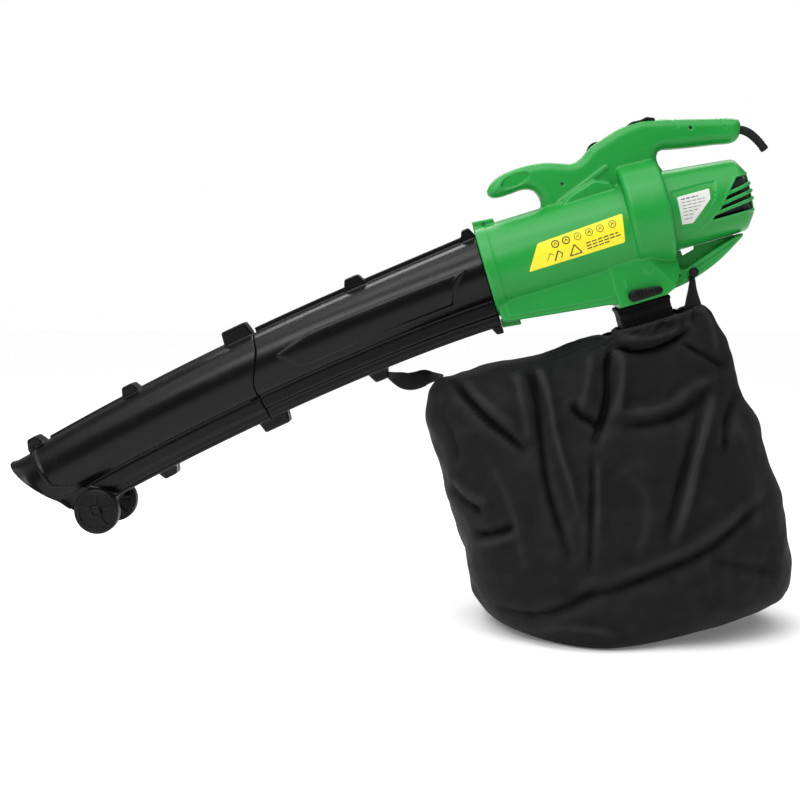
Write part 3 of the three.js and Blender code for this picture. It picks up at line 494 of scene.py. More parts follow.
def shell(name, field, axes, material, mirrored=False, shape=None, **rest):
    """A piece on the field's zero surface; shape bends its points."""
    field = field.astype(np.float32)
    verts, quads = surface_net(field, axes)
    verts = settle(verts, field, axes)
    if mirrored:
        verts = verts * (1, -1, 1)
        quads = quads[:, ::-1]
    if shape:
        verts = shape(verts)
    return make(name, verts, np.ascontiguousarray(quads), material, sharp=0, **rest)


# How far each moulding of a pair stops short of the middle plane.
SEAM = 0.15


def halves(name, kind, left, right, axes, material, slot, shape=None):
    """Two mouldings that meet at the seam, both laid out on the left."""
    y = open_axes(axes)[1]
    for side, field in (("left", left), ("right", right)):
        shell(f"{name}_{side}_{kind}", smax(field, y + SEAM, 1.2), axes, material, side == "right", shape,
              body="blower", stands_for=[f"{name}_{side}"], slot=slot)


# -------- housing shells

BARREL_R, BARREL_UP, BARREL_LONG = 64, 8, 206
HANDLE = smooth_path([
    [97, 60], [98, 84], [92, 98], [80, 103], [62, 102.5], [44, 102.5], [34, 106], [31, 113], [38, 122],
    [52, 129.5], [72, 132.5], [94, 132.5], [118, 129], [138, 122], [153, 117], [166, 120], [181, 130],
    [203, 137], [231, 143.5], [256, 144.5], [277, 139.5], [305, 131.5], [340, 121], [372, 111.5], [382, 106],
    [382, 98], [376, 85], [368, 80], [340, 85], [305, 91.5], [284, 96], [270, 98.5], [264, 92], [264, 80],
    [270, 66], [270, 50], [230, 50], [140, 50]], 130, True)
STRUT = smooth_path([
    [200, -30], [236, -32], [246, -42], [250, -56], [256, -64], [272, -60], [305, -49.5], [338, -41],
    [346, -40.5], [346, -43], [334, -51], [319, -60], [299, -70], [277, -78], [258, -83], [238, -86],
    [200, -87]], 80, True)
STRUT_LINE = ((266, -70), (334, -47))
WEB = [[242, -36], [262, -36], [262, -47], [280, -42.5], [280, -36], [336, -36], [336, -42], [305, -52],
       [276, -62], [254, -68], [242, -50]]
SKIRT = [[2, -61], [2, -22], [100, -22], [190, -20], [194, -28], [194, -84], [160, -84], [144, -80],
         [20, -64]]
SKIRT_PANEL = [[12, -56], [12, -34], [160, -33], [160, -72], [144, -72], [20, -58]]
SHELF = [[108, 55], [137, 76], [174, 86], [192, 77], [204, 55]]
ARCH_EDGE = ((122, 71), (194, 97.5))
TOP_BLOCK = [[0, 55], [0, 81], [29, 78], [33, 55]]
LOW_BLOCK = [[0, -70], [0, -55], [26, -55], [26, -73]]
BLOW_DUCT = [[-9, -44], [40, -46], [90, -54], [170, -56], [170, -76], [144, -75], [-9, -57.5]]
OUTLET_SIDE = [[157, -26], [190, -21], [236, -35], [252, -47], [249, -66], [234, -84], [222, -89], [157, -89]]
CREASE, CREASE_SLOPE = ((213, -37.6), (230, -69)), 0.7
# The oval facet on each side of the horn: its middle in x and z, half its length and width, and its lean.
HORN_FACET = (72.5, 118, 20, 8.5, math.radians(8))
HANDLE_MARKS = [((297.6, 134), (299.6, 121)), ((355.5, 118), (361, 101))]
# The cover, in the fan unit's frame: profiles along its axis and out from it, then shapes seen from the side.
COVER_PROFILE = [[28, -20], [28, 55.5], [114, 50.3], [126.5, 49.2], [130, 47.5], [141, 31], [143.4, 23],
                 [144, 12], [144, -20]]
COVER_HOLLOW = [[20, -20], [20, 52.3], [112, 47], [124.5, 46], [128, 43.5], [137.5, 29], [140.6, 20],
                [140.6, -20]]
COVER_RECESS = [[33, 24], [93, 25.5], [88, 2], [57.5, -28], [36, -26]]
COVER_RIDGE = ((77.3, -25.2), (31.7, -50))
VENT = [[122, 23], [111.9, 11], [103.2, 0], [92.6, -13], [80, -24.5], [150, -21], [150, 25]]
VENT_RIBS = [((106, 4.5), (150, 14.5)), ((97, -6.5), (150, 4)), ((86, -17.5), (150, -6.5))]
VENT_SLOTS = [((110, 10.3), (150, 19)), ((99, 0.2), (150, 9)), ((90, -11.3), (150, -1)),
              ((84, -21), (150, -12))]
SCREW_POSTS = [[15, 73.5], [132, 94], [316, 115], [248, -70]]
# The housing's screws: where their posts start across y, and the radii of their heads and shanks.
POST_FROM, HEAD, SHANK = -12, 4.5, 2.3
HEAD_SEAT = POST_FROM + 3.3
FAR = 9
# The speed dial's middle in x and z and its radius, and the mode lever's pivot and tip.
DIAL = (190, 121, 15)
LEVER, LEVER_TIP = (179, -77), (212, -79)
GAP = 0.3
FAN_AT, FAN_LEAN = (228, 19), math.radians(4)


def fan_plane(x, z):
    """The fan unit's along and up, from the machine's."""
    u, v = x - FAN_AT[0], z - FAN_AT[1]
    return u * math.cos(FAN_LEAN) - v * math.sin(FAN_LEAN), u * math.sin(FAN_LEAN) + v * math.cos(FAN_LEAN)


def past_crease(x, z):
    """How far a point of the outlet's side lies behind its crease."""
    (ax, az), (bx, bz) = CREASE
    return np.maximum(((x - ax) * (az - bz) + (z - az) * (bx - ax)) / math.hypot(bx - ax, bz - az), 0)


def from_posts(x, z):
    return np.minimum.reduce([np.hypot(x - a, z - b) for a, b in SCREW_POSTS])


def housing_field(x, y, z):
    """The outside of both shells, before the seam parts them."""
    w = np.abs(y)

    def plate(points, half, edge):
        return both(outline(points, x, z), w - half, edge)

    ring = np.hypot(y, z - BARREL_UP)
    barrel = both(ring - BARREL_R, slab(x, 0, BARREL_LONG), 3)
    barrel = smin(barrel, both(ring - (BARREL_R + 1.3), slab(x, 0, 15), 1.5), 2.5)
    fx, fz = fan_plane(x, z)
    drum = both(np.hypot(y, fz) - 74, np.abs(fx) - 27, 6.5)
    handle = plate(HANDLE, 17.6, 13.5)
    cx, cz, long, short, lean = HORN_FACET
    u = (x - cx) * math.cos(lean) + (z - cz) * math.sin(lean)
    v = (z - cz) * math.cos(lean) - (x - cx) * math.sin(lean)
    facet = (np.hypot(u / long, v / short) - 1) * short
    handle = smax(handle, -np.maximum(facet, 13.8 - w), 0.6)
    marks = nearest_of(HANDLE_MARKS, x, z) - 0.9
    handle = smax(handle, -np.maximum(marks, -(handle + 1.3)), 0.5)
    arch = both(segment(*ARCH_EDGE, x, z) - 3.2, w - 19.5, 1.8)
    strut = smax(plate(STRUT, 18, 4), -both(segment(*STRUT_LINE, x, z) - 1.0, 16 - w, 0.4), 0.5)
    strut = np.minimum(strut, plate(WEB, 4, 0.5))
    outlet = both(outline(OUTLET_SIDE, x, z), w - 50 + CREASE_SLOPE * past_crease(x, z), 2.5)
    boss = both(np.hypot(x - 209, z + 47.4) - 8, w - 50.9, 0.4)
    tick = block(x, z, (172.5, 175.5, -66, -53), 0.6, w - 51, 0.4)
    spigot = block(x, z, (159.4, 221.6, -109, -26), 4, w - 33.6, 3)
    body = smin(barrel, drum, 2.0)
    body = smin(body, smin(plate(SKIRT, 46, 3), plate(SKIRT_PANEL, 47.3, 0.5), 0.5), 1.2)
    body = smin(body, plate(SHELF, 27, 2.5), 2.0)
    body = smin(body, smin(handle, arch, 2.5), 4)
    body = smin(body, strut, 4)
    body = smin(body, smin(outlet, smin(boss, tick, 0.3), 0.4), 1.5)
    body = np.minimum(body, spigot)
    return smin(body, smin(plate(TOP_BLOCK, 13, 1.5), plate(LOW_BLOCK, 13, 1.5), 1), 1.5)


def housing_hollow(x, y, z):
    """The bore, the fan chamber, the ducts and the openings for the controls."""
    w = np.abs(y)
    ring = np.hypot(y, z - BARREL_UP)
    bore = np.maximum(ring - np.interp(x, [-2, 30, 80, 194], [48, 48, 58, 58]), slab(x, -9, 194))
    fx, fz = fan_plane(x, z)
    fan = np.hypot(y, fz)
    inlet = np.maximum(fan - 44, slab(fx, -50, 0))
    drum = np.maximum(fan - 70, np.abs(fx) - 23.5)
    motor = np.maximum(fan - 40, slab(fx, 0, 60))
    duct = hole(x, z, (160.2, 229.8, -85.8, -10), w - 46.8 + CREASE_SLOPE * past_crease(x, z))
    throat = hole(x, z, (162.6, 218.4, -125, -10), w - 30.4)
    blow = np.maximum(outline(BLOW_DUCT, x, z), w - 22)
    hollow = np.minimum.reduce([bore, inlet, drum, motor, duct, throat, blow])
    fan_cover = outline([[a, r + GAP] for a, r in COVER_PROFILE], fx, fan)
    hollow = np.minimum(np.maximum(hollow, -(from_posts(x, z) - 6)), fan_cover)
    rocker = hole(x, z, (234, 278, 125, 170), w - 9.2)
    dial = hole(x, z, (171, 209, 104, 160), w - 4.6)
    guard = np.maximum(np.hypot(w, z - (95.2 - 0.11 * np.maximum(x - 371, 0))) - 7.2, 371 - x)
    return np.minimum.reduce([hollow, rocker, dial, guard])


def make_housing():
    axes = spaced_axes((-4, -78, -116), (390, 3, 151), VOXEL)
    x, y, z = open_axes(axes)
    body = smax(housing_field(x, y, z), -housing_hollow(x, y, z), 0.8)
    spindle = np.maximum(np.hypot(x - LEVER[0], z - LEVER[1]) - 4.3, 0)
    heads = np.maximum(from_posts(x, z) - HEAD, y - HEAD_SEAT)
    shanks = from_posts(x, z) - SHANK
    left = np.maximum(body, -np.minimum(spindle, shanks))
    right = smax(body, -np.minimum(heads, shanks), 0.4)
    halves("housing", "shell", left, right, axes, GREEN, "green_plastic")


def make_cover():
    """The cap over the motor, with a sunk vent on each side and louvres across its end."""
    axes = spaced_axes((25, -59, -59), (147.5, 59, 59), VOXEL)
    x, y, z = open_axes(axes)
    w, reach = np.abs(y), np.hypot(y, z)
    outer = outline(COVER_PROFILE, x, reach)
    vent = outline(VENT, x, z)
    sunk = smax(np.maximum(vent, 2.4 - nearest_of(VENT_RIBS, x, z)), -(outer + 5.0), 0.8)
    sunk = np.maximum(sunk, 9 - w)
    through = np.maximum(nearest_of(VENT_SLOTS, x, z) - 1.0, np.maximum(vent + 1.5, 12 - w))
    ridge = both(segment(*COVER_RIDGE, x, z) - 1.6, outer - 0.8, 0.6)
    frame_line = smax(outer - 0.9, np.abs(vent - 1.6) - 1.3, 0.6)
    field = smin(smin(outer, ridge, 0.8), np.where(w > 8, frame_line, FAR), 0.8)
    recess = both(outline(COVER_RECESS, x, z), -(outer + 1.2), 0.1)
    field = smax(field, -np.where(y < -20, recess, FAR), 0.4)
    field = smax(field, -outline(COVER_HOLLOW, x, reach), 0.5)
    field = smax(field, -sunk, 0.8)
    field = smax(field, -through, 0.7)
    shell("motor_cap", field, axes, GREEN, body="blower", space=FAN,
          stands_for=["rear_motor_cover"], slot="green_plastic")
    profile = [(84, 46.5), (112, 45.6), (123.5, 44.4), (134.5, 28.5), (137.6, 19), (137.8, 6), (136.8, 6),
               (136.6, 18.6), (133.6, 27.8), (122.8, 43.4), (112, 44.6), (84, 45.5)]
    points, faces = lathe(profile + profile[:1], 72, 0)
    make("air_filter_screen", points, faces, SATIN, "blower", FAN, slot="black_plastic", sharp=30)


# -------- the bent tube

TUBE_R, TUBE_H, KEEL_LOW = 49, 9, 60
UPPER_END = 364
NOZZLE_CUT = (-700, -93, math.radians(39))
# Screw lugs: name, distance along, length, height, above (1) or below (-1), and the tube that carries it.
LUGS = [
    ("nozzle_top", 675, 26, 16, 1, "lower"), ("lower_top", 520, 28, 16, 1, "lower"),
    ("joint_top", 351, 42, 22, 1, "lower"), ("upper_top", 174, 32, 18, 1, "upper"),
    ("collar_top", 7, 22, 16, 1, "upper"), ("lower_bottom", 525, 30, 14, -1, "lower"),
    ("joint_bottom", 354, 44, 18, -1, "lower"), ("upper_bottom", 190, 30, 16, -1, "upper"),
    ("collar_bottom", 9, 22, 12, -1, "upper")]
PANEL = [(24, 24), (46, 8.5), (57, -12), (268, -12), (283, -9), (292, 4), (306, 16), (252, 27)]
CHEVRON = [(26, 23), (47, 8.5), (57, -11.5), (62, -11), (52, 9), (36, 22.5)]


def tube_middle(along):
    """Height of the tube's middle line at a distance along it, and its slope there."""
    return -2 - 0.06 * along - 0.00012 * along ** 2, np.arctan(0.06 + 0.00024 * along)


def bent(verts):
    """From along, across and up the straight tube to the machine's frame."""
    along = verts[:, 0]
    middle, angle = tube_middle(along)
    girth = 1 + 0.08 * np.exp(-np.maximum(along, -20) / 90)
    height = girth * verts[:, 2]
    return np.stack([-along - height * np.sin(angle), girth * verts[:, 1],
                     middle + height * np.cos(angle)], 1)


def tube_section(y, h):
    """The round suction tube over the blow duct that makes its keel."""
    w = np.abs(y)
    tube = np.hypot(y, h - TUBE_H) - TUBE_R
    keel = both(w - 28, slab(h, -KEEL_LOW, 0), 3)
    shoulder = both(w - 33, slab(h, -45, 0), 1.6)
    return smin(tube, smin(keel, shoulder, 0.8), 1.0)


def tube_bores(y, h, grow):
    """The tube and the duct inside, grown or shrunk."""
    tube = np.hypot(y, h - TUBE_H) - (TUBE_R + grow)
    duct = np.maximum(np.abs(y) - (27 + grow), slab(h, -KEEL_LOW - grow, TUBE_H - TUBE_R - 1))
    return np.minimum(tube, duct)


def joint_edge(h):
    """Where the lower tube's socket starts: further along at the keel than on top."""
    t = np.clip((42 - h) / 60, 0, 1)
    return 329 + 25 * t * t * (3 - 2 * t)


def lug_screw(height, side):
    """How high above or below the tube's middle line a lug's screw sits."""
    return side * ((TUBE_H + TUBE_R if side > 0 else KEEL_LOW) + (height - 10) / 2 + 3)


def lug_fields(s, y, h, which):
    """The screw lugs of one tube, and the distance to the nearest of its screws."""
    bosses, holes = 1e3, 1e3
    for name, along, length, height, side, tube in LUGS:
        if tube != which:
            continue
        low = TUBE_H + TUBE_R - 8 if side > 0 else KEEL_LOW - 8
        up = side * h
        middle, half = low + 3 + height / 2, height / 2 + 3
        slope = 0.2 if length > 40 else 0.45
        taper = np.abs(s - along) - length / 2 + np.maximum(up - middle + 2, 0) * slope
        boss = both(both(taper, np.abs(up - middle) - half, 2.2), np.abs(y) - 12.5, 2)
        bosses = np.minimum(bosses, boss)
        holes = np.minimum(holes, np.hypot(s - along, h - lug_screw(height, side)))
    return bosses, holes


def make_tube(name, start, end, outer_of):
    axes = spaced_axes((start, -57, -80), (end, 3, 90), VOXEL)
    s, y, h = open_axes(axes)
    body, holes = outer_of(s, y, h)
    heads = np.maximum(holes - HEAD, y - HEAD_SEAT)
    left = np.maximum(body, -np.maximum(holes - SHANK, -9.4 - y))
    right = smax(body, -np.minimum(heads, holes - SHANK), 0.4)
    halves(name, "moulding", left, right, axes, BLACK, "black_plastic", bent)


def keel_lines(y, h, depth):
    """Mouldings that run along the keel and the seam."""
    w = np.abs(y)
    groove = np.hypot(w - 35.4, h + 26.5) - 1.9 * depth
    ledge = np.hypot(w - 31.6, h + 45.5) - 1.1 * depth
    seam = np.hypot(w - 28.4, h + 55.5) - 0.8 * depth
    return np.minimum.reduce([groove, ledge, seam])


def upper_tube(s, y, h):
    section = tube_section(y, h)
    edge = joint_edge(h)
    full = smax(section, -keel_lines(y, h, 1.5), 0.5)
    full = smax(full, s - (edge - 0.3), 0.4)
    spigot = np.maximum(section + 3.6, slab(s, 300, UPPER_END))
    panel = both(outline(PANEL, s, h), section - 1.5, 1.0)
    chevron = both(outline(CHEVRON, s, h), section - 2.3, 0.8)
    spine = both(both(np.abs(y) - 2.8, slab(h, 50, 65), 0.8), slab(s, 12, 326), 2)
    channel = np.hypot(np.abs(y) - 6.4, h - 58.2) - 2.2
    bosses, holes = lug_fields(s, y, h, "upper")
    body = smin(smin(smin(full, panel, 0.8), chevron, 0.6), spine, 1.0)
    body = smax(body, -channel, 0.8)
    body = np.minimum(smin(body, bosses, 1.6), spigot)
    body = smax(body, -s - 1.08 * h * np.sin(tube_middle(s)[1]) + 0.3, 0.8)
    wide = np.maximum(tube_bores(y, h, -3.2), s - 320)
    narrow = tube_bores(y, h, -7.0)
    return smax(body, -np.minimum(wide, narrow), 0.6), holes


def nozzle_distance(s, h):
    middle, angle = tube_middle(s)
    x, z = -s - h * np.sin(angle), middle + h * np.cos(angle)
    return (x - NOZZLE_CUT[0]) * math.cos(NOZZLE_CUT[2]) + (z - NOZZLE_CUT[1]) * math.sin(NOZZLE_CUT[2])


def lower_tube(s, y, h):
    """The nozzle's wall ends square, and a slanted lip stands out of it."""
    section = tube_section(y, h) - 0.6
    cut = nozzle_distance(s, h)
    wall_end = np.interp(h, [-60, -35, -18, -3, 70], [606, 626, 650, 674, 681])
    wall = smax(smax(section, -keel_lines(y, h, 1.5), 0.5), s - wall_end, 0.8)
    bead = both(section - 1.3, np.abs(s - wall_end + 3) - 2.6, 0.9)
    wall = smin(wall, bead, 0.5)
    lip = section + 4.6 - 3.8 * np.exp(-np.maximum(cut, 0) / 3.5)
    body = smax(smin(wall, lip, 0.8), -cut, 1.4)
    body = smax(body, joint_edge(h) - s, 0.4)
    spine = both(both(np.abs(y) - 2.0, slab(h, 50, 62.4), 1.0), slab(s, 372, 655), 2)
    channel = np.maximum(np.hypot(np.abs(y) - 6.0, h - 58.4) - 1.6, slab(s, 372, 655))
    bosses, holes = lug_fields(s, y, h, "lower")
    body = smax(smin(body, spine, 1.0), -channel, 0.8)
    body = smin(body, np.maximum(bosses, -cut), 1.6)
    socket = np.maximum(section + 3.2, s - 366)
    bores = tube_bores(y, h, -3.2 - 3.2 * np.clip((s - 600) / 30, 0, 1))
    return smax(body, -np.minimum(socket, bores), 0.6), holes


# -------- small mouldings


def moulding(name, low, high, step, field_of, material, body, **rest):
    """A small piece, its field sampled finely between two corners."""
    axes = spaced_axes(low, high, step * (1))
    return shell(name, field_of(*open_axes(axes)), axes, material, body=body, **rest)


WHEEL_R, WHEEL_HALF, WHEEL_Y = 32, 7.5, 45


def wheel_field(x, y, z):
    r, w = np.hypot(x, z), np.abs(y)
    tyre = both(r - WHEEL_R, w - WHEEL_HALF, 2.8)
    tread = np.hypot(r - WHEEL_R - 0.5, np.abs(w - 2.6)) - 0.9
    tyre = smax(tyre, -tread, 0.4)
    angle = np.arctan2(z, x)
    spoke = np.abs((angle * 5 / (2 * math.pi) + 0.25) % 1 - 0.5) * (2 * math.pi / 5) * r
    pocket = np.maximum(np.maximum(r - 24.5, 10.0 - r), 2.0 - spoke)
    pocket = np.maximum(pocket, 5.6 - w)
    rim_line = np.hypot(r - 27.2, w - WHEEL_HALF) - 0.9
    body = smax(smax(tyre, -pocket, 0.9), -rim_line, 0.4)
    return np.maximum(body, 4.3 - r)


def make_wheels():
    for side, sign in (("left", -1), ("right", 1)):
        pos = Vector(JOINTS[f"{side}_wheel_spin"]["pos_m"])
        place = Matrix.Translation(pos + Vector((0, sign * WHEEL_Y * MM, 0))) @ Matrix.Scale(MM, 4)
        moulding(f"{side}_nozzle_wheel", (-33.5, -9, -33.5), (33.5, 9, 33.5), 0.8, wheel_field, SATIN,
                 f"{side}_wheel", space=place, stands_for=[f"{side}_wheel"], slot="black_plastic")
        place = Matrix.Translation(pos) @ Matrix.Scale(MM, 4)
        profile = [(53.8, 0), (53.8, 8.2), (54.4, 9), (55.8, 9), (57.0, 8.2), (57.5, 6.8), (57.5, 4.6),
                   (57.0, 3.9), (54.6, 3.5), (54.4, 0)]
        points, faces = lathe([(sign * a, r) for a, r in profile], 48, 1)
        make(f"{side}_hub_cap", points, faces if sign > 0 else faces[:, ::-1].copy(), SATIN, "blower", place,
             [f"{side}_axle_cap"], "black_plastic", sharp=40)


def make_screws():
    """Pan-head screws with a cross recess, entering from the right."""
    axes = spaced_axes((-4.6, -10, -4.6), (4.6, 13.2, 4.6), 0.45)
    x, y, z = open_axes(axes)
    r = np.hypot(x, z)
    head = both(r - 4.1, slab(y, 9, 12), 1.2)
    shank = both(r - 1.9 + 0.25 * np.abs((y * 0.8) % 1 - 0.5), slab(y, -9, 10), 0.5)
    cross = np.minimum(np.maximum(np.abs(x) - 0.55, np.abs(z) - 2.3),
                       np.maximum(np.abs(z) - 0.55, np.abs(x) - 2.3))
    field = smax(smin(head, shank, 0.4), -np.maximum(cross, 10.4 - y), 0.2).astype(np.float32)
    verts, quads = surface_net(field, axes)
    places = {}
    for number, (a, b) in enumerate(SCREW_POSTS, 1):
        places[f"housing_{number}"] = (a, b)
    for name, along, length, height, side, tube in LUGS:
        level = lug_screw(height, side)
        middle, angle = tube_middle(np.array(float(along)))
        places[name] = (-along - level * math.sin(angle), float(middle) + level * math.cos(angle))
    for name, (a, b) in places.items():
        make(f"cross_screw_{name}", verts + (a, 0, b), np.ascontiguousarray(quads), STEEL, "blower",
             stands_for=[f"screw_{name}"], slot="steel", sharp=30)


def lever_field(x, y, z):
    away, t = segment_share(LEVER, LEVER_TIP, x, z)
    r = np.hypot(x - LEVER[0], z - LEVER[1])
    pill = away - (8 - 2.5 * t)
    plate = both(pill, slab(y, -62, -54.6), 2.2)
    hub = both(r - 5.2, slab(y, -62.9, -56), 0.9)
    ribs = np.minimum.reduce([np.abs(x - a) for a in (194, 198, 202, 206)]) - 0.9
    ribs = np.maximum(np.maximum(ribs, pill + 2.2), slab(y, -62.7, -58))
    spindle = np.maximum(r - 4, slab(y, -58, -46.3))
    body = smin(smin(plate, hub, 0.8), ribs, 0.5)
    dimple = np.hypot(r, y + 63.4) - 2.0
    return np.minimum(smax(body, -dimple, 0.4), spindle)


def rocker_field(x, y, z):
    side = outline([[236.5, 131], [236.5, 143.3], [246, 146.3], [256, 145.4], [266, 146.8], [275.5, 142.3],
                    [275.5, 131]], x, z)
    grip = np.minimum.reduce([np.abs(x - a) for a in (241, 244.5, 248)]) - 0.7
    grip = np.maximum(np.maximum(grip, side - 0.6), np.abs(y) - 6.5)
    dot = np.hypot(np.hypot(x - 267, y), z - 148.4) - 2.8
    return smax(smin(both(side, np.abs(y) - 8.7, 1.6), grip, 0.5), -dot, 0.4)


def dial_field(x, y, z):
    r = np.hypot(x - DIAL[0], z - DIAL[1])
    turn = np.arctan2(z - DIAL[1], x - DIAL[0])
    teeth = 0.7 * np.abs(np.sin(turn * 16))
    wheel = both(r - DIAL[2] + teeth, np.abs(y) - 4, 0.9)
    face = np.maximum(np.maximum(r - 11.5, 5 - r), 3.3 - np.abs(y))
    hub = np.maximum(r - 2.5, np.abs(y) - 6)
    return np.minimum(smax(wheel, -face, 0.4), hub)


def connector_field(x, y, z):
    w = np.abs(y)
    outer = block(x, z, (155, 226, -140, -90), 1.5, w - 38, 4)
    lip = block(x, z, (153.8, 227.2, -96, -90.2), 1.2, w - 39.2, 3)
    lines = np.minimum.reduce([np.abs(z + a) for a in (101, 105)]) - 0.7
    outer = smax(smin(outer, lip, 0.8), -np.maximum(lines, -(outer + 0.8)), 0.4)
    outer = smin(outer, block(x, z, (168, 172, -118, -98), 1, w - 39, 0.6), 0.5)
    hollow = np.maximum(np.maximum(slab(x, 158.9, 222.1), w - 34.1), 0)
    return smax(outer, -hollow, 0.6)


GUARD_ROUTE = [[271.5, 0, 111], [300, 0, 101], [340, 0, 96.5], [378, 0, 94.5], [390, 0, 87], [400, 0, 72],
               [406, 0, 57]]
GUARD_FROM = 371.5


def make_guard():
    """The strain relief: a flange at the handle, then a ribbed sleeve that follows the cord."""
    path = smooth_path(GUARD_ROUTE, 400)
    path = path[path[:, 0] > GUARD_FROM]
    run = run_of(path)
    steps = spaced(0, run[-1], 0.5)
    centre = walk(path, run, steps)
    tangent = unit_tangents(centre)
    radius = np.interp(steps, [0, 11, 12, 14.5, 15.5, 20, steps[-1]], [5.8, 5.8, 8.6, 8.6, 7.2, 6.1, 5.5])
    ribbed = (steps > 22) & (steps < steps[-1] - 7)
    radius -= np.where(ribbed, 0.45 * (0.5 - 0.5 * np.cos((steps - 22) * 2 * math.pi / 4.5)), 0)
    radius = np.minimum(radius, 5.5 * np.sqrt(np.clip((steps[-1] - steps) / 2.2, 0, 1)) * 0.35 + 3.8)
    radius[0] = radius[-1] = 0.01
    angle = np.linspace(0, 2 * math.pi, 40, endpoint=False)
    normal = np.stack([-tangent[:, 2], 0 * tangent[:, 0], tangent[:, 0]], 1)
    rows = centre[:, None] + radius[:, None, None] * (
        np.cos(angle)[None, :, None] * normal[:, None]
        + np.sin(angle)[None, :, None] * np.array([0, 1, 0]))
    make("ribbed_cord_guard", rows.reshape(-1, 3), grid_faces(len(steps), 40), RUBBER, "blower",
         stands_for=["cord_guard"], slot="soft_rubber", sharp=50)


def make_controls():
    for name, low, high, field_of, body, node in (
            ("mode_lever_arm", (169, -64.5, -87), (220, -45, -67), lever_field, "mode_selector",
             "mode_lever"),
            ("power_rocker_cap", (235, -10, 129.5), (277, 10, 151), rocker_field, "power_switch",
             "power_switch"),
            ("speed_thumb_dial", (173.5, -7, 104.5), (206.5, 7, 137.5), dial_field, "speed_dial",
             "speed_dial")):
        moulding(name, low, high, 0.7, field_of, SATIN, body, stands_for=[node], slot="black_plastic")
    moulding("bag_collar_frame", (151, -42, -142), (230, 42, -88), 1.2, connector_field, MATTE, "bag_unit",
             stands_for=["bag_connector"], slot="black_plastic")
    profile = [(-18.4, 0), (-18.4, 4.4), (-19.2, 4), (-26.6, 4), (-27, 6.0), (-27.8, 6.5), (-29.6, 6.4),
               (-30.7, 5.4), (-31, 3.6), (-30.6, 2.6), (-30.2, 0)]
    points, faces = lathe(profile, 40, 1)
    make("strap_knob", points + (267, 0, -71.5), faces[:, ::-1].copy(), SATIN, "blower",
         stands_for=["strap_peg"], slot="black_plastic", sharp=40)


# -------- stickers


FILM_TOP, FILM_FOOT, INK_LIFT, INK_THICK = 0.32, -0.05, 0.38, 0.12


def sticker(name, corners, radius, skin, material, space, node, slot):
    """A film on a curved face, between four or five corners given in its plane."""
    edge = smooth_corners(corners, radius)
    middle = edge.mean(0)
    rings = np.linspace(1, 0, 15)
    flat = np.concatenate([middle + (edge - middle) * k for k in rings[:-1]] + [middle[None]])
    count = len(edge)
    top = skin(flat, FILM_TOP)
    low = skin(edge, FILM_FOOT)
    faces = grid_faces(len(rings) - 1, count).tolist()
    last = (len(rings) - 2) * count
    centre = len(flat) - 1
    faces += [(last + i, last + (i + 1) % count, centre) for i in range(count)]
    base = len(flat)
    faces += [(base + i, base + (i + 1) % count, (i + 1) % count, i) for i in range(count)]
    make(name, np.vstack([top, low]), faces, material, "blower", space, [node], slot, sharp=50)


def smooth_corners(corners, radius, steps=6, run=3.0):
    """A polygon with rounded corners and evenly cut sides."""
    corners = np.asarray(corners, float)
    points = []
    for before, here, after in zip(np.roll(corners, 1, 0), corners, np.roll(corners, -1, 0)):
        a, b = before - here, after - here
        la, lb = np.linalg.norm(a), np.linalg.norm(b)
        reach = min(radius, la / 2, lb / 2)
        p, q = here + a / la * reach, here + b / lb * reach
        for t in np.linspace(0, 1, steps):
            points.append((1 - t) ** 2 * p + 2 * t * (1 - t) * here + t ** 2 * q)
        far = after + (here - after) / lb * min(radius, lb / 2)
        extra = int(np.linalg.norm(far - q) / run)
        points += [q + (far - q) * k / (extra + 1) for k in range(1, extra + 1)]
    return np.array(points)


def stroke(path, width, skin, run=1.2):
    """A printed line along a path on a curved face: points and quads."""
    path = np.asarray(path, float)
    length = run_of(path)
    even = np.linspace(0, length[-1], max(int(length[-1] / run), 1) + 1)
    steps = np.unique(np.concatenate([even, length]))
    centre = walk(path, length, steps)
    way = np.gradient(centre, axis=0)
    way /= np.maximum(np.linalg.norm(way, axis=1), 1e-9)[:, None]
    side = np.stack([-way[:, 1], way[:, 0]], 1) * width / 2
    rows = np.stack([skin(centre - side, INK_LIFT), skin(centre + side, INK_LIFT)], 1).reshape(-1, 3)
    return rows, grid_faces(len(steps), 2, wrap=False)


def ring_path(x, z, r, count=20):
    t = np.linspace(0, 2 * math.pi, count + 1)
    return np.stack([x + r * np.cos(t), z + r * np.sin(t)], 1)


def print_marks(name, strokes, skin, material, space, slot):
    verts, faces, start = [], [], 0
    for path, width in strokes:
        rows, quads = stroke(path, width, skin)
        verts.append(rows)
        faces += (quads + start).tolist()
        start += len(rows)
    made = make(name, np.vstack(verts), faces, material, "blower", space, slot=slot, sharp=0)
    solid = made.modifiers.new("film", "SOLIDIFY")
    solid.thickness = INK_THICK * MM
    solid.offset = 0


def on_side(flat, r, up):
    """Points of a plan on the left of a round body whose middle line is at the given height."""
    return np.stack([flat[:, 0], -np.sqrt(r * r - (flat[:, 1] - up) ** 2), flat[:, 1]], 1)


def barrel_skin(flat, lift):
    return on_side(flat, BARREL_R + lift, BARREL_UP)


def cover_skin(flat, lift):
    return on_side(flat, 55.5 - (flat[:, 0] - 28) * 5.5 / 86 - 1.2 + lift, 0)


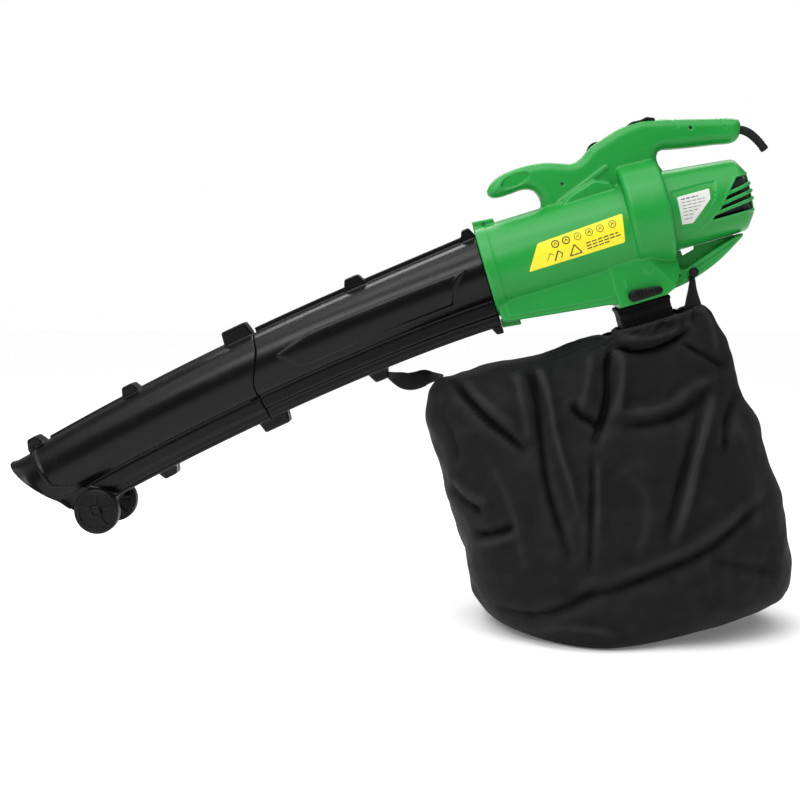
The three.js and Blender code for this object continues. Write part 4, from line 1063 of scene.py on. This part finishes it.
def make_stickers():
    yellow = [(54.6, -6.3), (186.6, -5.3), (193.4, 32.2), (76, 27)]
    sticker("caution_sticker", yellow, 2.5, barrel_skin, YELLOW, MACHINE, "caution_label", "yellow_label")
    strokes = []
    for k, x in enumerate((98, 113, 129, 145, 160, 177)):
        z = 19.5 + 0.04 * (x - 98)
        strokes.append((ring_path(x, z, 4.6), 1.5 if k < 2 else 0.8))
        strokes.append(([(x - 2.2, z - 1.6), (x + 0.2, z + 2.0), (x + 2.2, z - 1.2)], 1.1 if k % 2 else 0.8))
    strokes += [([(113, -1.8), (129, -1.2), (121.4, 11.5), (113, -1.8)], 1.5), ([(92, -2), (99, 10)], 1.8),
                ([(99, 10), (104, 5), (101, 0)], 1.3), ([(82, 0.5), (88, 9.5), (92, 6)], 0.8)]
    for z, end in ((8.6, 181), (4.8, 184), (1.0, 168)):
        for x in range(137, end, 8):
            strokes.append(([(x, z + 0.03 * (x - 137)), (min(x + 6.4, end), z + 0.03 * (x - 130))], 1.5))
    print_marks("caution_marks", strokes, barrel_skin, INK, MACHINE, "yellow_label")

    white = [(39.6, -21.7), (54.4, -22.5), (82, 3.2), (83.3, 17.1), (39.6, 15.2)]
    sticker("rating_sticker", white, 1.2, cover_skin, WHITE, FAN, "rating_label", "white_label")
    strokes = []
    for z, far in ((11, 70), (6.5, 78), (2.4, 77), (-1.8, 71), (-6, 66), (-10.5, 61), (-15.5, 57)):
        for x in range(44, far - 4, 7):
            strokes.append(([(x, z), (min(x + 5.4, far - 3), z)], 0.9 if z < 10 else 1.6))
    print_marks("rating_marks", strokes, cover_skin, GREY, FAN, "white_label")


# -------- collection bag

# Rings of the bag from the neck down to the base, in the upright frame:
# front edge x and z, back edge x and z, half width.
BAG_RINGS = [
    (304.1, 412.7, 377.2, 435.1, 40.5), (299.5, 411.8, 382.5, 433.5, 44), (295.5, 407.5, 386, 430, 47),
    (296, 402.5, 387.5, 426.5, 47.5), (299.5, 399.8, 389, 425.5, 45), (294, 398.6, 394, 430, 45.5),
    (280, 396.5, 404, 441, 49), (250, 391, 417, 446.5, 54), (220, 383, 429, 439, 60),
    (190, 374, 436, 428, 66),
    (150, 364, 443, 412, 72), (110, 355, 449, 398, 77), (75, 348, 455, 383, 82), (55, 342, 461, 367, 86),
    (44, 332, 467, 348, 90), (38, 320, 476, 324, 95), (40, 300, 486, 302, 100), (43, 280, 495, 280, 105),
    (50, 250, 506, 250, 112), (58, 220, 517, 220, 119), (67, 190, 526, 190, 127), (77, 160, 534, 160, 134),
    (84, 130, 540, 130, 140), (92, 100, 543, 100, 144), (101, 65, 543, 66, 149), (106, 44, 537, 48, 151),
    (112, 30, 524, 37, 152), (120, 18, 504, 27, 151.5), (130, 9, 480, 17, 150), (142, 3.5, 450, 8, 147),
    (156, 1.2, 420, 3, 141), (190, 0.6, 370, 1, 105), (225, 0.6, 310, 0.8, 40),
]
# How square each ring is, by the height of its front edge: low is square, 1 is an ellipse, above 1 pointed.
BAG_POWER = ((3, 1.2), (20, 0.98), (45, 0.82), (90, 0.76), (280, 0.80), (320, 1.0), (345, 1.25), (383, 1.25),
             (393, 1.0), (398, 0.6), (403, 0.45), (412, 0.42))
BAG_ROWS, BAG_COLUMNS = ((150, 300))
# Folds on a side of the bag: route in x and z, half width and depth (negative sinks).
FOLDS = [
    ([(69, 354), (89, 330), (118, 301), (147, 279), (177, 254)], 4.5, -6.5),
    ([(80, 362), (104, 334), (132, 309), (165, 286)], 9, 3.5),
    ([(166, 392), (173, 375), (186, 338), (194, 276), (202, 217), (218, 162), (233, 114)], 6, -5.5),
    ([(180, 392), (190, 372), (204, 330), (214, 276), (232, 218), (246, 170)], 8, 4.0),
    ([(152, 380), (163, 352), (172, 312), (178, 268)], 11, 3.5),
    ([(233, 321), (248, 304), (262, 297), (272, 288)], 5, -6),
    ([(286, 404), (283, 364), (282, 328), (273, 292), (262, 264)], 6, -8),
    ([(300, 396), (301, 360), (297, 325), (286, 296)], 11, 4.5),
    ([(262, 390), (256, 352), (250, 326), (240, 306)], 13, 4.5),
    ([(261, 255), (261, 200), (259, 151), (257, 99)], 3.5, -2.6),
    ([(268, 252), (269, 200), (268, 150)], 7, 1.6),
    ([(433, 345), (409, 278), (390, 209), (366, 138)], 10, 4.5),
    ([(420, 335), (397, 276), (377, 212), (352, 140)], 8, -3.2),
    ([(219, 68), (259, 75), (295, 83), (349, 104), (420, 135), (504, 199)], 8, -4.0),
    ([(240, 90), (300, 102), (360, 124), (430, 158), (490, 204)], 14, 3.5),
    ([(75, 205), (93, 186), (119, 173)], 4, -4.5),
    ([(80, 216), (101, 198), (128, 186)], 7, 3),
    ([(108, 141), (141, 150), (162, 162)], 4.5, -4),
    ([(100, 128), (136, 137), (166, 150)], 8, 3),
    ([(286, 401), (296, 394), (310, 388.5), (330, 387), (350, 390), (368, 397), (386, 406), (398, 417)],
     5, -9),
    ([(296, 406), (316, 402), (340, 403), (362, 409), (384, 419)], 8, 6),
    ([(384, 398), (410, 384), (434, 370), (452, 362)], 6, -4.5),
    ([(295, 306), (340, 309), (372, 320), (398, 337), (438, 351)], 9, 4.5),
    ([(300, 292), (342, 294), (380, 305), (420, 326)], 9, -4),
    ([(404, 452), (421, 415), (430, 380)], 7, 4),
    ([(120, 47), (175, 41), (234, 60), (268, 80)], 7, -4),
    ([(183, 18), (214, 30), (262, 30), (300, 22)], 9, 3),
    ([(413, 118), (456, 108), (515, 92)], 10, -3),
    ([(120, 250), (150, 200), (166, 150), (176, 100)], 14, 3),
    ([(300, 240), (330, 200), (330, 160), (316, 120)], 22, 4),
    ([(450, 300), (472, 250), (480, 200), (482, 150)], 16, 4),
    ([(462, 330), (444, 290), (440, 250)], 7, -4),
    ([(60, 300), (78, 262), (84, 236)], 8, -3),
]
# How far the far side's folds are moved and mirrored, so that the two sides differ.
FAR_SHIFT = (18, -14)
FOLD_STRENGTH = 1.55
CLOTH_THICK = 1.2


def near_route(route, x, z):
    """Distance to a route and how far along it, from 0 to 1, for points in x and z."""
    route = smooth_path(route, 24)
    best = np.full(x.shape, 1e9)
    along = np.zeros(x.shape)
    for k, (a, b) in enumerate(zip(route[:-1], route[1:])):
        d, t = segment_share(a, b, x, z)
        closer = d < best
        best = np.where(closer, d, best)
        along = np.where(closer, (k + t) / (len(route) - 1), along)
    return best, along


def fold_depth(x, z, far):
    total = np.zeros(x.shape)
    if far:
        x, z = x + FAR_SHIFT[0], z + FAR_SHIFT[1]
    for route, reach, depth in FOLDS:
        distance, along = near_route(route, x, z)
        ends = np.clip(np.minimum(along, 1 - along) * 5, 0, 1) ** 0.7
        sunk = np.exp(-1.2 * (np.hypot(distance, 2.4) - 2.4) / reach)
        shape = sunk if depth < 0 else np.exp(-1.3 * (distance / reach) ** 1.5)
        total += FOLD_STRENGTH * depth * ends * shape
    return total


def bag_grid():
    rings = smooth_path(BAG_RINGS, BAG_ROWS)
    turn = np.linspace(0, 2 * math.pi, 1441)
    rows = []
    for fx, fz, bx, bz, width in rings:
        power = np.interp(fz, *np.transpose(BAG_POWER))
        egg = 0.2 * np.clip((width - 41) / 30, 0, 1)
        c, s = np.cos(turn), np.sin(turn)
        u = np.sign(c) * np.abs(c) ** power
        v = width * (1 - egg * c * 0.8) * np.sign(s) * np.abs(s) ** power
        ring = np.stack([(fx + bx) / 2 + (bx - fx) / 2 * u, v, (fz + bz) / 2 + (bz - fz) / 2 * u], 1)
        run = run_of(ring)
        rows.append(walk(ring, run, np.linspace(0, run[-1], BAG_COLUMNS + 1)[:-1]))
    return np.array(rows)


def grid_normals(grid):
    across = np.roll(grid, -1, 1) - np.roll(grid, 1, 1)
    down = np.gradient(grid, axis=0)
    normal = np.cross(down, across)
    return normal / np.maximum(np.linalg.norm(normal, axis=2, keepdims=True), 1e-9)


def ripple(grid):
    """Broad uneven swelling of slack cloth."""
    x, y, z = grid[..., 0], grid[..., 1], grid[..., 2]
    broad = 1.5 * np.sin(x * 0.045 + z * 0.021 + 0.8 * np.sin(y * 0.03))
    broad = broad + 1.2 * np.sin(z * 0.058 - x * 0.017 + y * 0.02)
    fine = np.array([2.6 * noise.noise(Vector(p) * 0.021) + 1.1 * noise.noise(Vector(p) * 0.052)
                     for p in grid.reshape(-1, 3)])
    return broad + fine.reshape(x.shape)


def cloth_uv(obj, grid, flip=False):
    """The piece's own weave coordinates, in metres, along and across its grid of points."""
    closed = np.concatenate([grid, grid[:, :1]], 1)
    across = np.linalg.norm(np.diff(closed, axis=1), axis=2).mean(0)
    down = np.linalg.norm(np.diff(grid, axis=0), axis=2).mean(1)
    u = np.concatenate([[0], np.cumsum(across)]) * MM
    v = np.concatenate([[0], np.cumsum(down)]) * MM
    i, j = np.meshgrid(np.arange(len(grid) - 1), np.arange(len(u) - 1), indexing="ij")
    corners = [np.stack([u[j + a], v[i + b]], -1) for a, b in ((0, 0), (1, 0), (1, 1), (0, 1))]
    corners = np.stack(corners, 2).reshape(-1, 4, 2)
    corners = (corners[:, ::-1] if flip else corners).reshape(-1, 2)
    layer = obj.data.uv_layers.new(name="cloth")
    data = np.zeros((len(obj.data.loops), 2), np.float32)
    data[: len(corners)] = corners
    layer.data.foreach_set("uv", data.ravel())


# Half of a strap's section, from edge to edge: across in widths, and up in thicknesses.
STRAP_TOP = [(-0.5, 0.0), (-0.47, 0.42), (-0.43, 0.5), (-0.22, 0.46), (0, 0.5), (0.22, 0.46), (0.43, 0.5),
             (0.47, 0.42)]
STRAP_THICK, STRAP_ROWS = 1.5, 90


def ribbon(name, route, widths, twists, stands_for):
    """Webbing along a route in the upright frame. Twist 0 lays its width across (y), 90 stands it up."""
    path = smooth_path(route, STRAP_ROWS)
    run = np.linspace(0, 1, STRAP_ROWS)
    width = np.interp(run, np.linspace(0, 1, len(widths)), widths)
    twist = np.radians(np.interp(run, np.linspace(0, 1, len(twists)), twists))
    tangent = unit_tangents(path)
    side = np.cross(tangent, np.cross([0.0, 1.0, 0.0], tangent))
    side /= np.linalg.norm(side, axis=1)[:, None]
    up = np.cross(side, tangent)
    wide = side * np.cos(twist)[:, None] + up * np.sin(twist)[:, None]
    thick = np.cross(wide, tangent)
    profile = STRAP_TOP + [(-a, -b) for a, b in STRAP_TOP]
    grid = np.stack([path + wide * (width * a)[:, None] + thick * (STRAP_THICK * b) for a, b in profile], 1)
    count = len(profile)
    faces = grid_faces(STRAP_ROWS, count).tolist()
    faces += [list(range(count))[::-1], list(range((STRAP_ROWS - 1) * count, STRAP_ROWS * count))]
    made = make(name, grid.reshape(-1, 3), faces, WEBBING, "bag_unit", UPRIGHT, stands_for, "webbing",
                sharp=0)
    cloth_uv(made, grid)


def make_bag():
    grid = bag_grid()
    normal = grid_normals(grid)
    x, y, z = grid[..., 0], grid[..., 1], grid[..., 2]
    free = np.clip((z - 6) / 26, 0, 1) * np.clip(np.arange(BAG_ROWS) / BAG_ROWS * 14 - 0.5, 0, 1)[:, None]
    sides = np.clip(np.abs(normal[..., 1]) * 1.6 - 0.25, 0, 1)
    fold = np.where(y < 0, fold_depth(x, z, False), fold_depth(x, z, True))
    angle = np.linspace(0, 2 * math.pi, BAG_COLUMNS, endpoint=False)[None]
    gather = np.exp(-((np.arange(BAG_ROWS) / BAG_ROWS - 0.10) / 0.06) ** 2)[:, None]
    pleat = gather * (1.8 * np.sin(angle * 13 + 0.7 * np.sin(angle * 3)) + 1.0 * np.sin(angle * 29 + 1.3))
    gusset = (1 - sides) * free * (1.6 * np.sin(z * 0.052 + y * 0.03) + 0.7 * np.sin(z * 0.131 - y * 0.05))
    shift = free * (fold * sides + ripple(grid)) + gusset + pleat
    shaped = grid + normal * shift[..., None]
    shaped[..., 2] = np.maximum(shaped[..., 2], 0.7)
    count = BAG_ROWS * BAG_COLUMNS
    last = count - BAG_COLUMNS
    faces = grid_faces(BAG_ROWS, BAG_COLUMNS, flip=True).tolist()
    faces += [(last + (i + 1) % BAG_COLUMNS, last + i, count) for i in range(BAG_COLUMNS)]
    points = np.vstack([shaped.reshape(-1, 3), shaped[-1].mean(0)[None]])
    bag = make("cloth_bag", points, faces, FABRIC, "bag_unit", UPRIGHT, ["collection_bag"], "bag_fabric",
               sharp=0)
    cloth_uv(bag, grid, flip=True)
    wall = bag.modifiers.new("cloth thickness", "SOLIDIFY")
    wall.thickness = CLOTH_THICK * MM
    wall.offset = -1


def make_straps():
    front = [(-24, 0, 350), (-14, 0, 346), (0, 0, 340.5), (12, -1, 337.5), (24, -1, 339), (36, 0, 343),
             (50, 0, 344), (62, 0, 345)]
    ribbon("front_bag_strap", front, [22, 23, 24, 25, 25, 25, 26], [8, 40, 78, 95, 110, 150, 176],
           ["front_strap"])
    rear = [(396.5, -23, 486), (399, -23.4, 480), (399.5, -23.6, 470), (400, -24, 458), (401, -24, 446),
            (402, -22, 438)]
    ribbon("rear_bag_strap", rear, [8, 9, 12, 17, 22, 24], [60, 72, 80, 84, 86, 90], ["rear_strap"])


# -------- working parts inside


def dress_inside():
    """The inner CAD parts keep their shapes and take full materials."""
    wanted = {
        BLACK: ["impeller", "motor_bulkhead", "cooling_fan", "rear_bearing_bracket", "wheel_bracket"],
        STEEL: [n for n in NODES if "shaft" in n or n == "wheel_axle"
                or "bearing" in n and "bracket" not in n],
        LAMINATED: [n for n in NODES if "stator" in n],
        COPPER: [n for n in NODES if "armature" in n or "commutator" in n],
        GREY: [n for n in NODES if "brush_holder" in n] + ["switch_module", "diverter_flap"],
        BOARD: ["speed_board"],
        RUBBER: ["mains_lead"],
    }
    for material, names in wanted.items():
        for name in names:
            for place in NODES[name].material_slots:
                place.material = material


# -------- studio

AMBIENT = 0.24


def area_light(name, place, target, size, power, colour=(1, 1, 1)):
    light = bpy.data.objects.new(name, bpy.data.lights.new(name, "AREA"))
    light.data.shape = "RECTANGLE"
    light.data.size, light.data.size_y = size
    light.data.energy = power
    light.data.color = colour
    light.location = place
    light.rotation_euler = (Vector(target) - Vector(place)).to_track_quat("-Z", "Y").to_euler()
    bpy.context.scene.collection.objects.link(light)


def studio():
    bpy.ops.mesh.primitive_plane_add(size=14, location=(0, 0, 0))
    floor = bpy.context.object
    floor.name = "studio_floor"
    n = Nodes("studio_floor")
    mottle = n.noise(n.node("TexCoord").outputs["Object"], 3.0, 3.0)
    n.set(Base_Color=n.mix(mottle, (0.93, 0.93, 0.93), (0.95, 0.95, 0.95)), Roughness=0.8)
    n.set(Emission_Color=(1, 1, 1), Emission_Strength=0.13, Specular_IOR_Level=0.2)
    floor.data.materials.append(n.material)

    world = bpy.data.worlds.new("studio")
    bpy.context.scene.world = world
    world.use_nodes = True
    tree = world.node_tree
    ambient = next(n for n in tree.nodes if n.type == "BACKGROUND")
    ambient.inputs["Strength"].default_value = AMBIENT
    ambient.inputs["Color"].default_value = (1, 1, 1, 1)
    seen = tree.nodes.new("ShaderNodeBackground")
    mix = tree.nodes.new("ShaderNodeMixShader")
    path = tree.nodes.new("ShaderNodeLightPath")
    out = next(n for n in tree.nodes if n.type == "OUTPUT_WORLD")
    tree.links.new(path.outputs["Is Camera Ray"], mix.inputs[0])
    tree.links.new(ambient.outputs[0], mix.inputs[1])
    tree.links.new(seen.outputs[0], mix.inputs[2])
    tree.links.new(mix.outputs[0], out.inputs["Surface"])
    seen.inputs["Color"].default_value = (1, 1, 1, 1)

    sky = bpy.data.objects.new("sky", bpy.data.lights.new("sky", "SUN"))
    sky.data.energy = 2.3
    sky.data.angle = math.radians(85)
    sky.rotation_euler = Vector((-0.14, -0.30, 1.0)).to_track_quat("Z", "Y").to_euler()
    bpy.context.scene.collection.objects.link(sky)
    area_light("overhead", (-0.2, -0.5, 1.9), (0.05, 0, 0.4), (1.6, 0.5), 7)
    area_light("front", (-0.9, -1.6, 1.9), (0.10, 0, 0.35), (1.5, 0.5), 15)
    area_light("rim", (-0.1, 1.1, 1.7), (0.0, 0, 0.4), (2.4, 0.35), 16)
    bpy.context.scene.view_settings.view_transform = "Standard"


make_housing()
make_cover()
make_tube("upper_tube", -10, 367, upper_tube)
make_tube("lower_tube", 324, 760, lower_tube)
make_wheels()
make_screws()
make_controls()
make_guard()
make_stickers()
make_bag()
make_straps()
dress_inside()
studio()
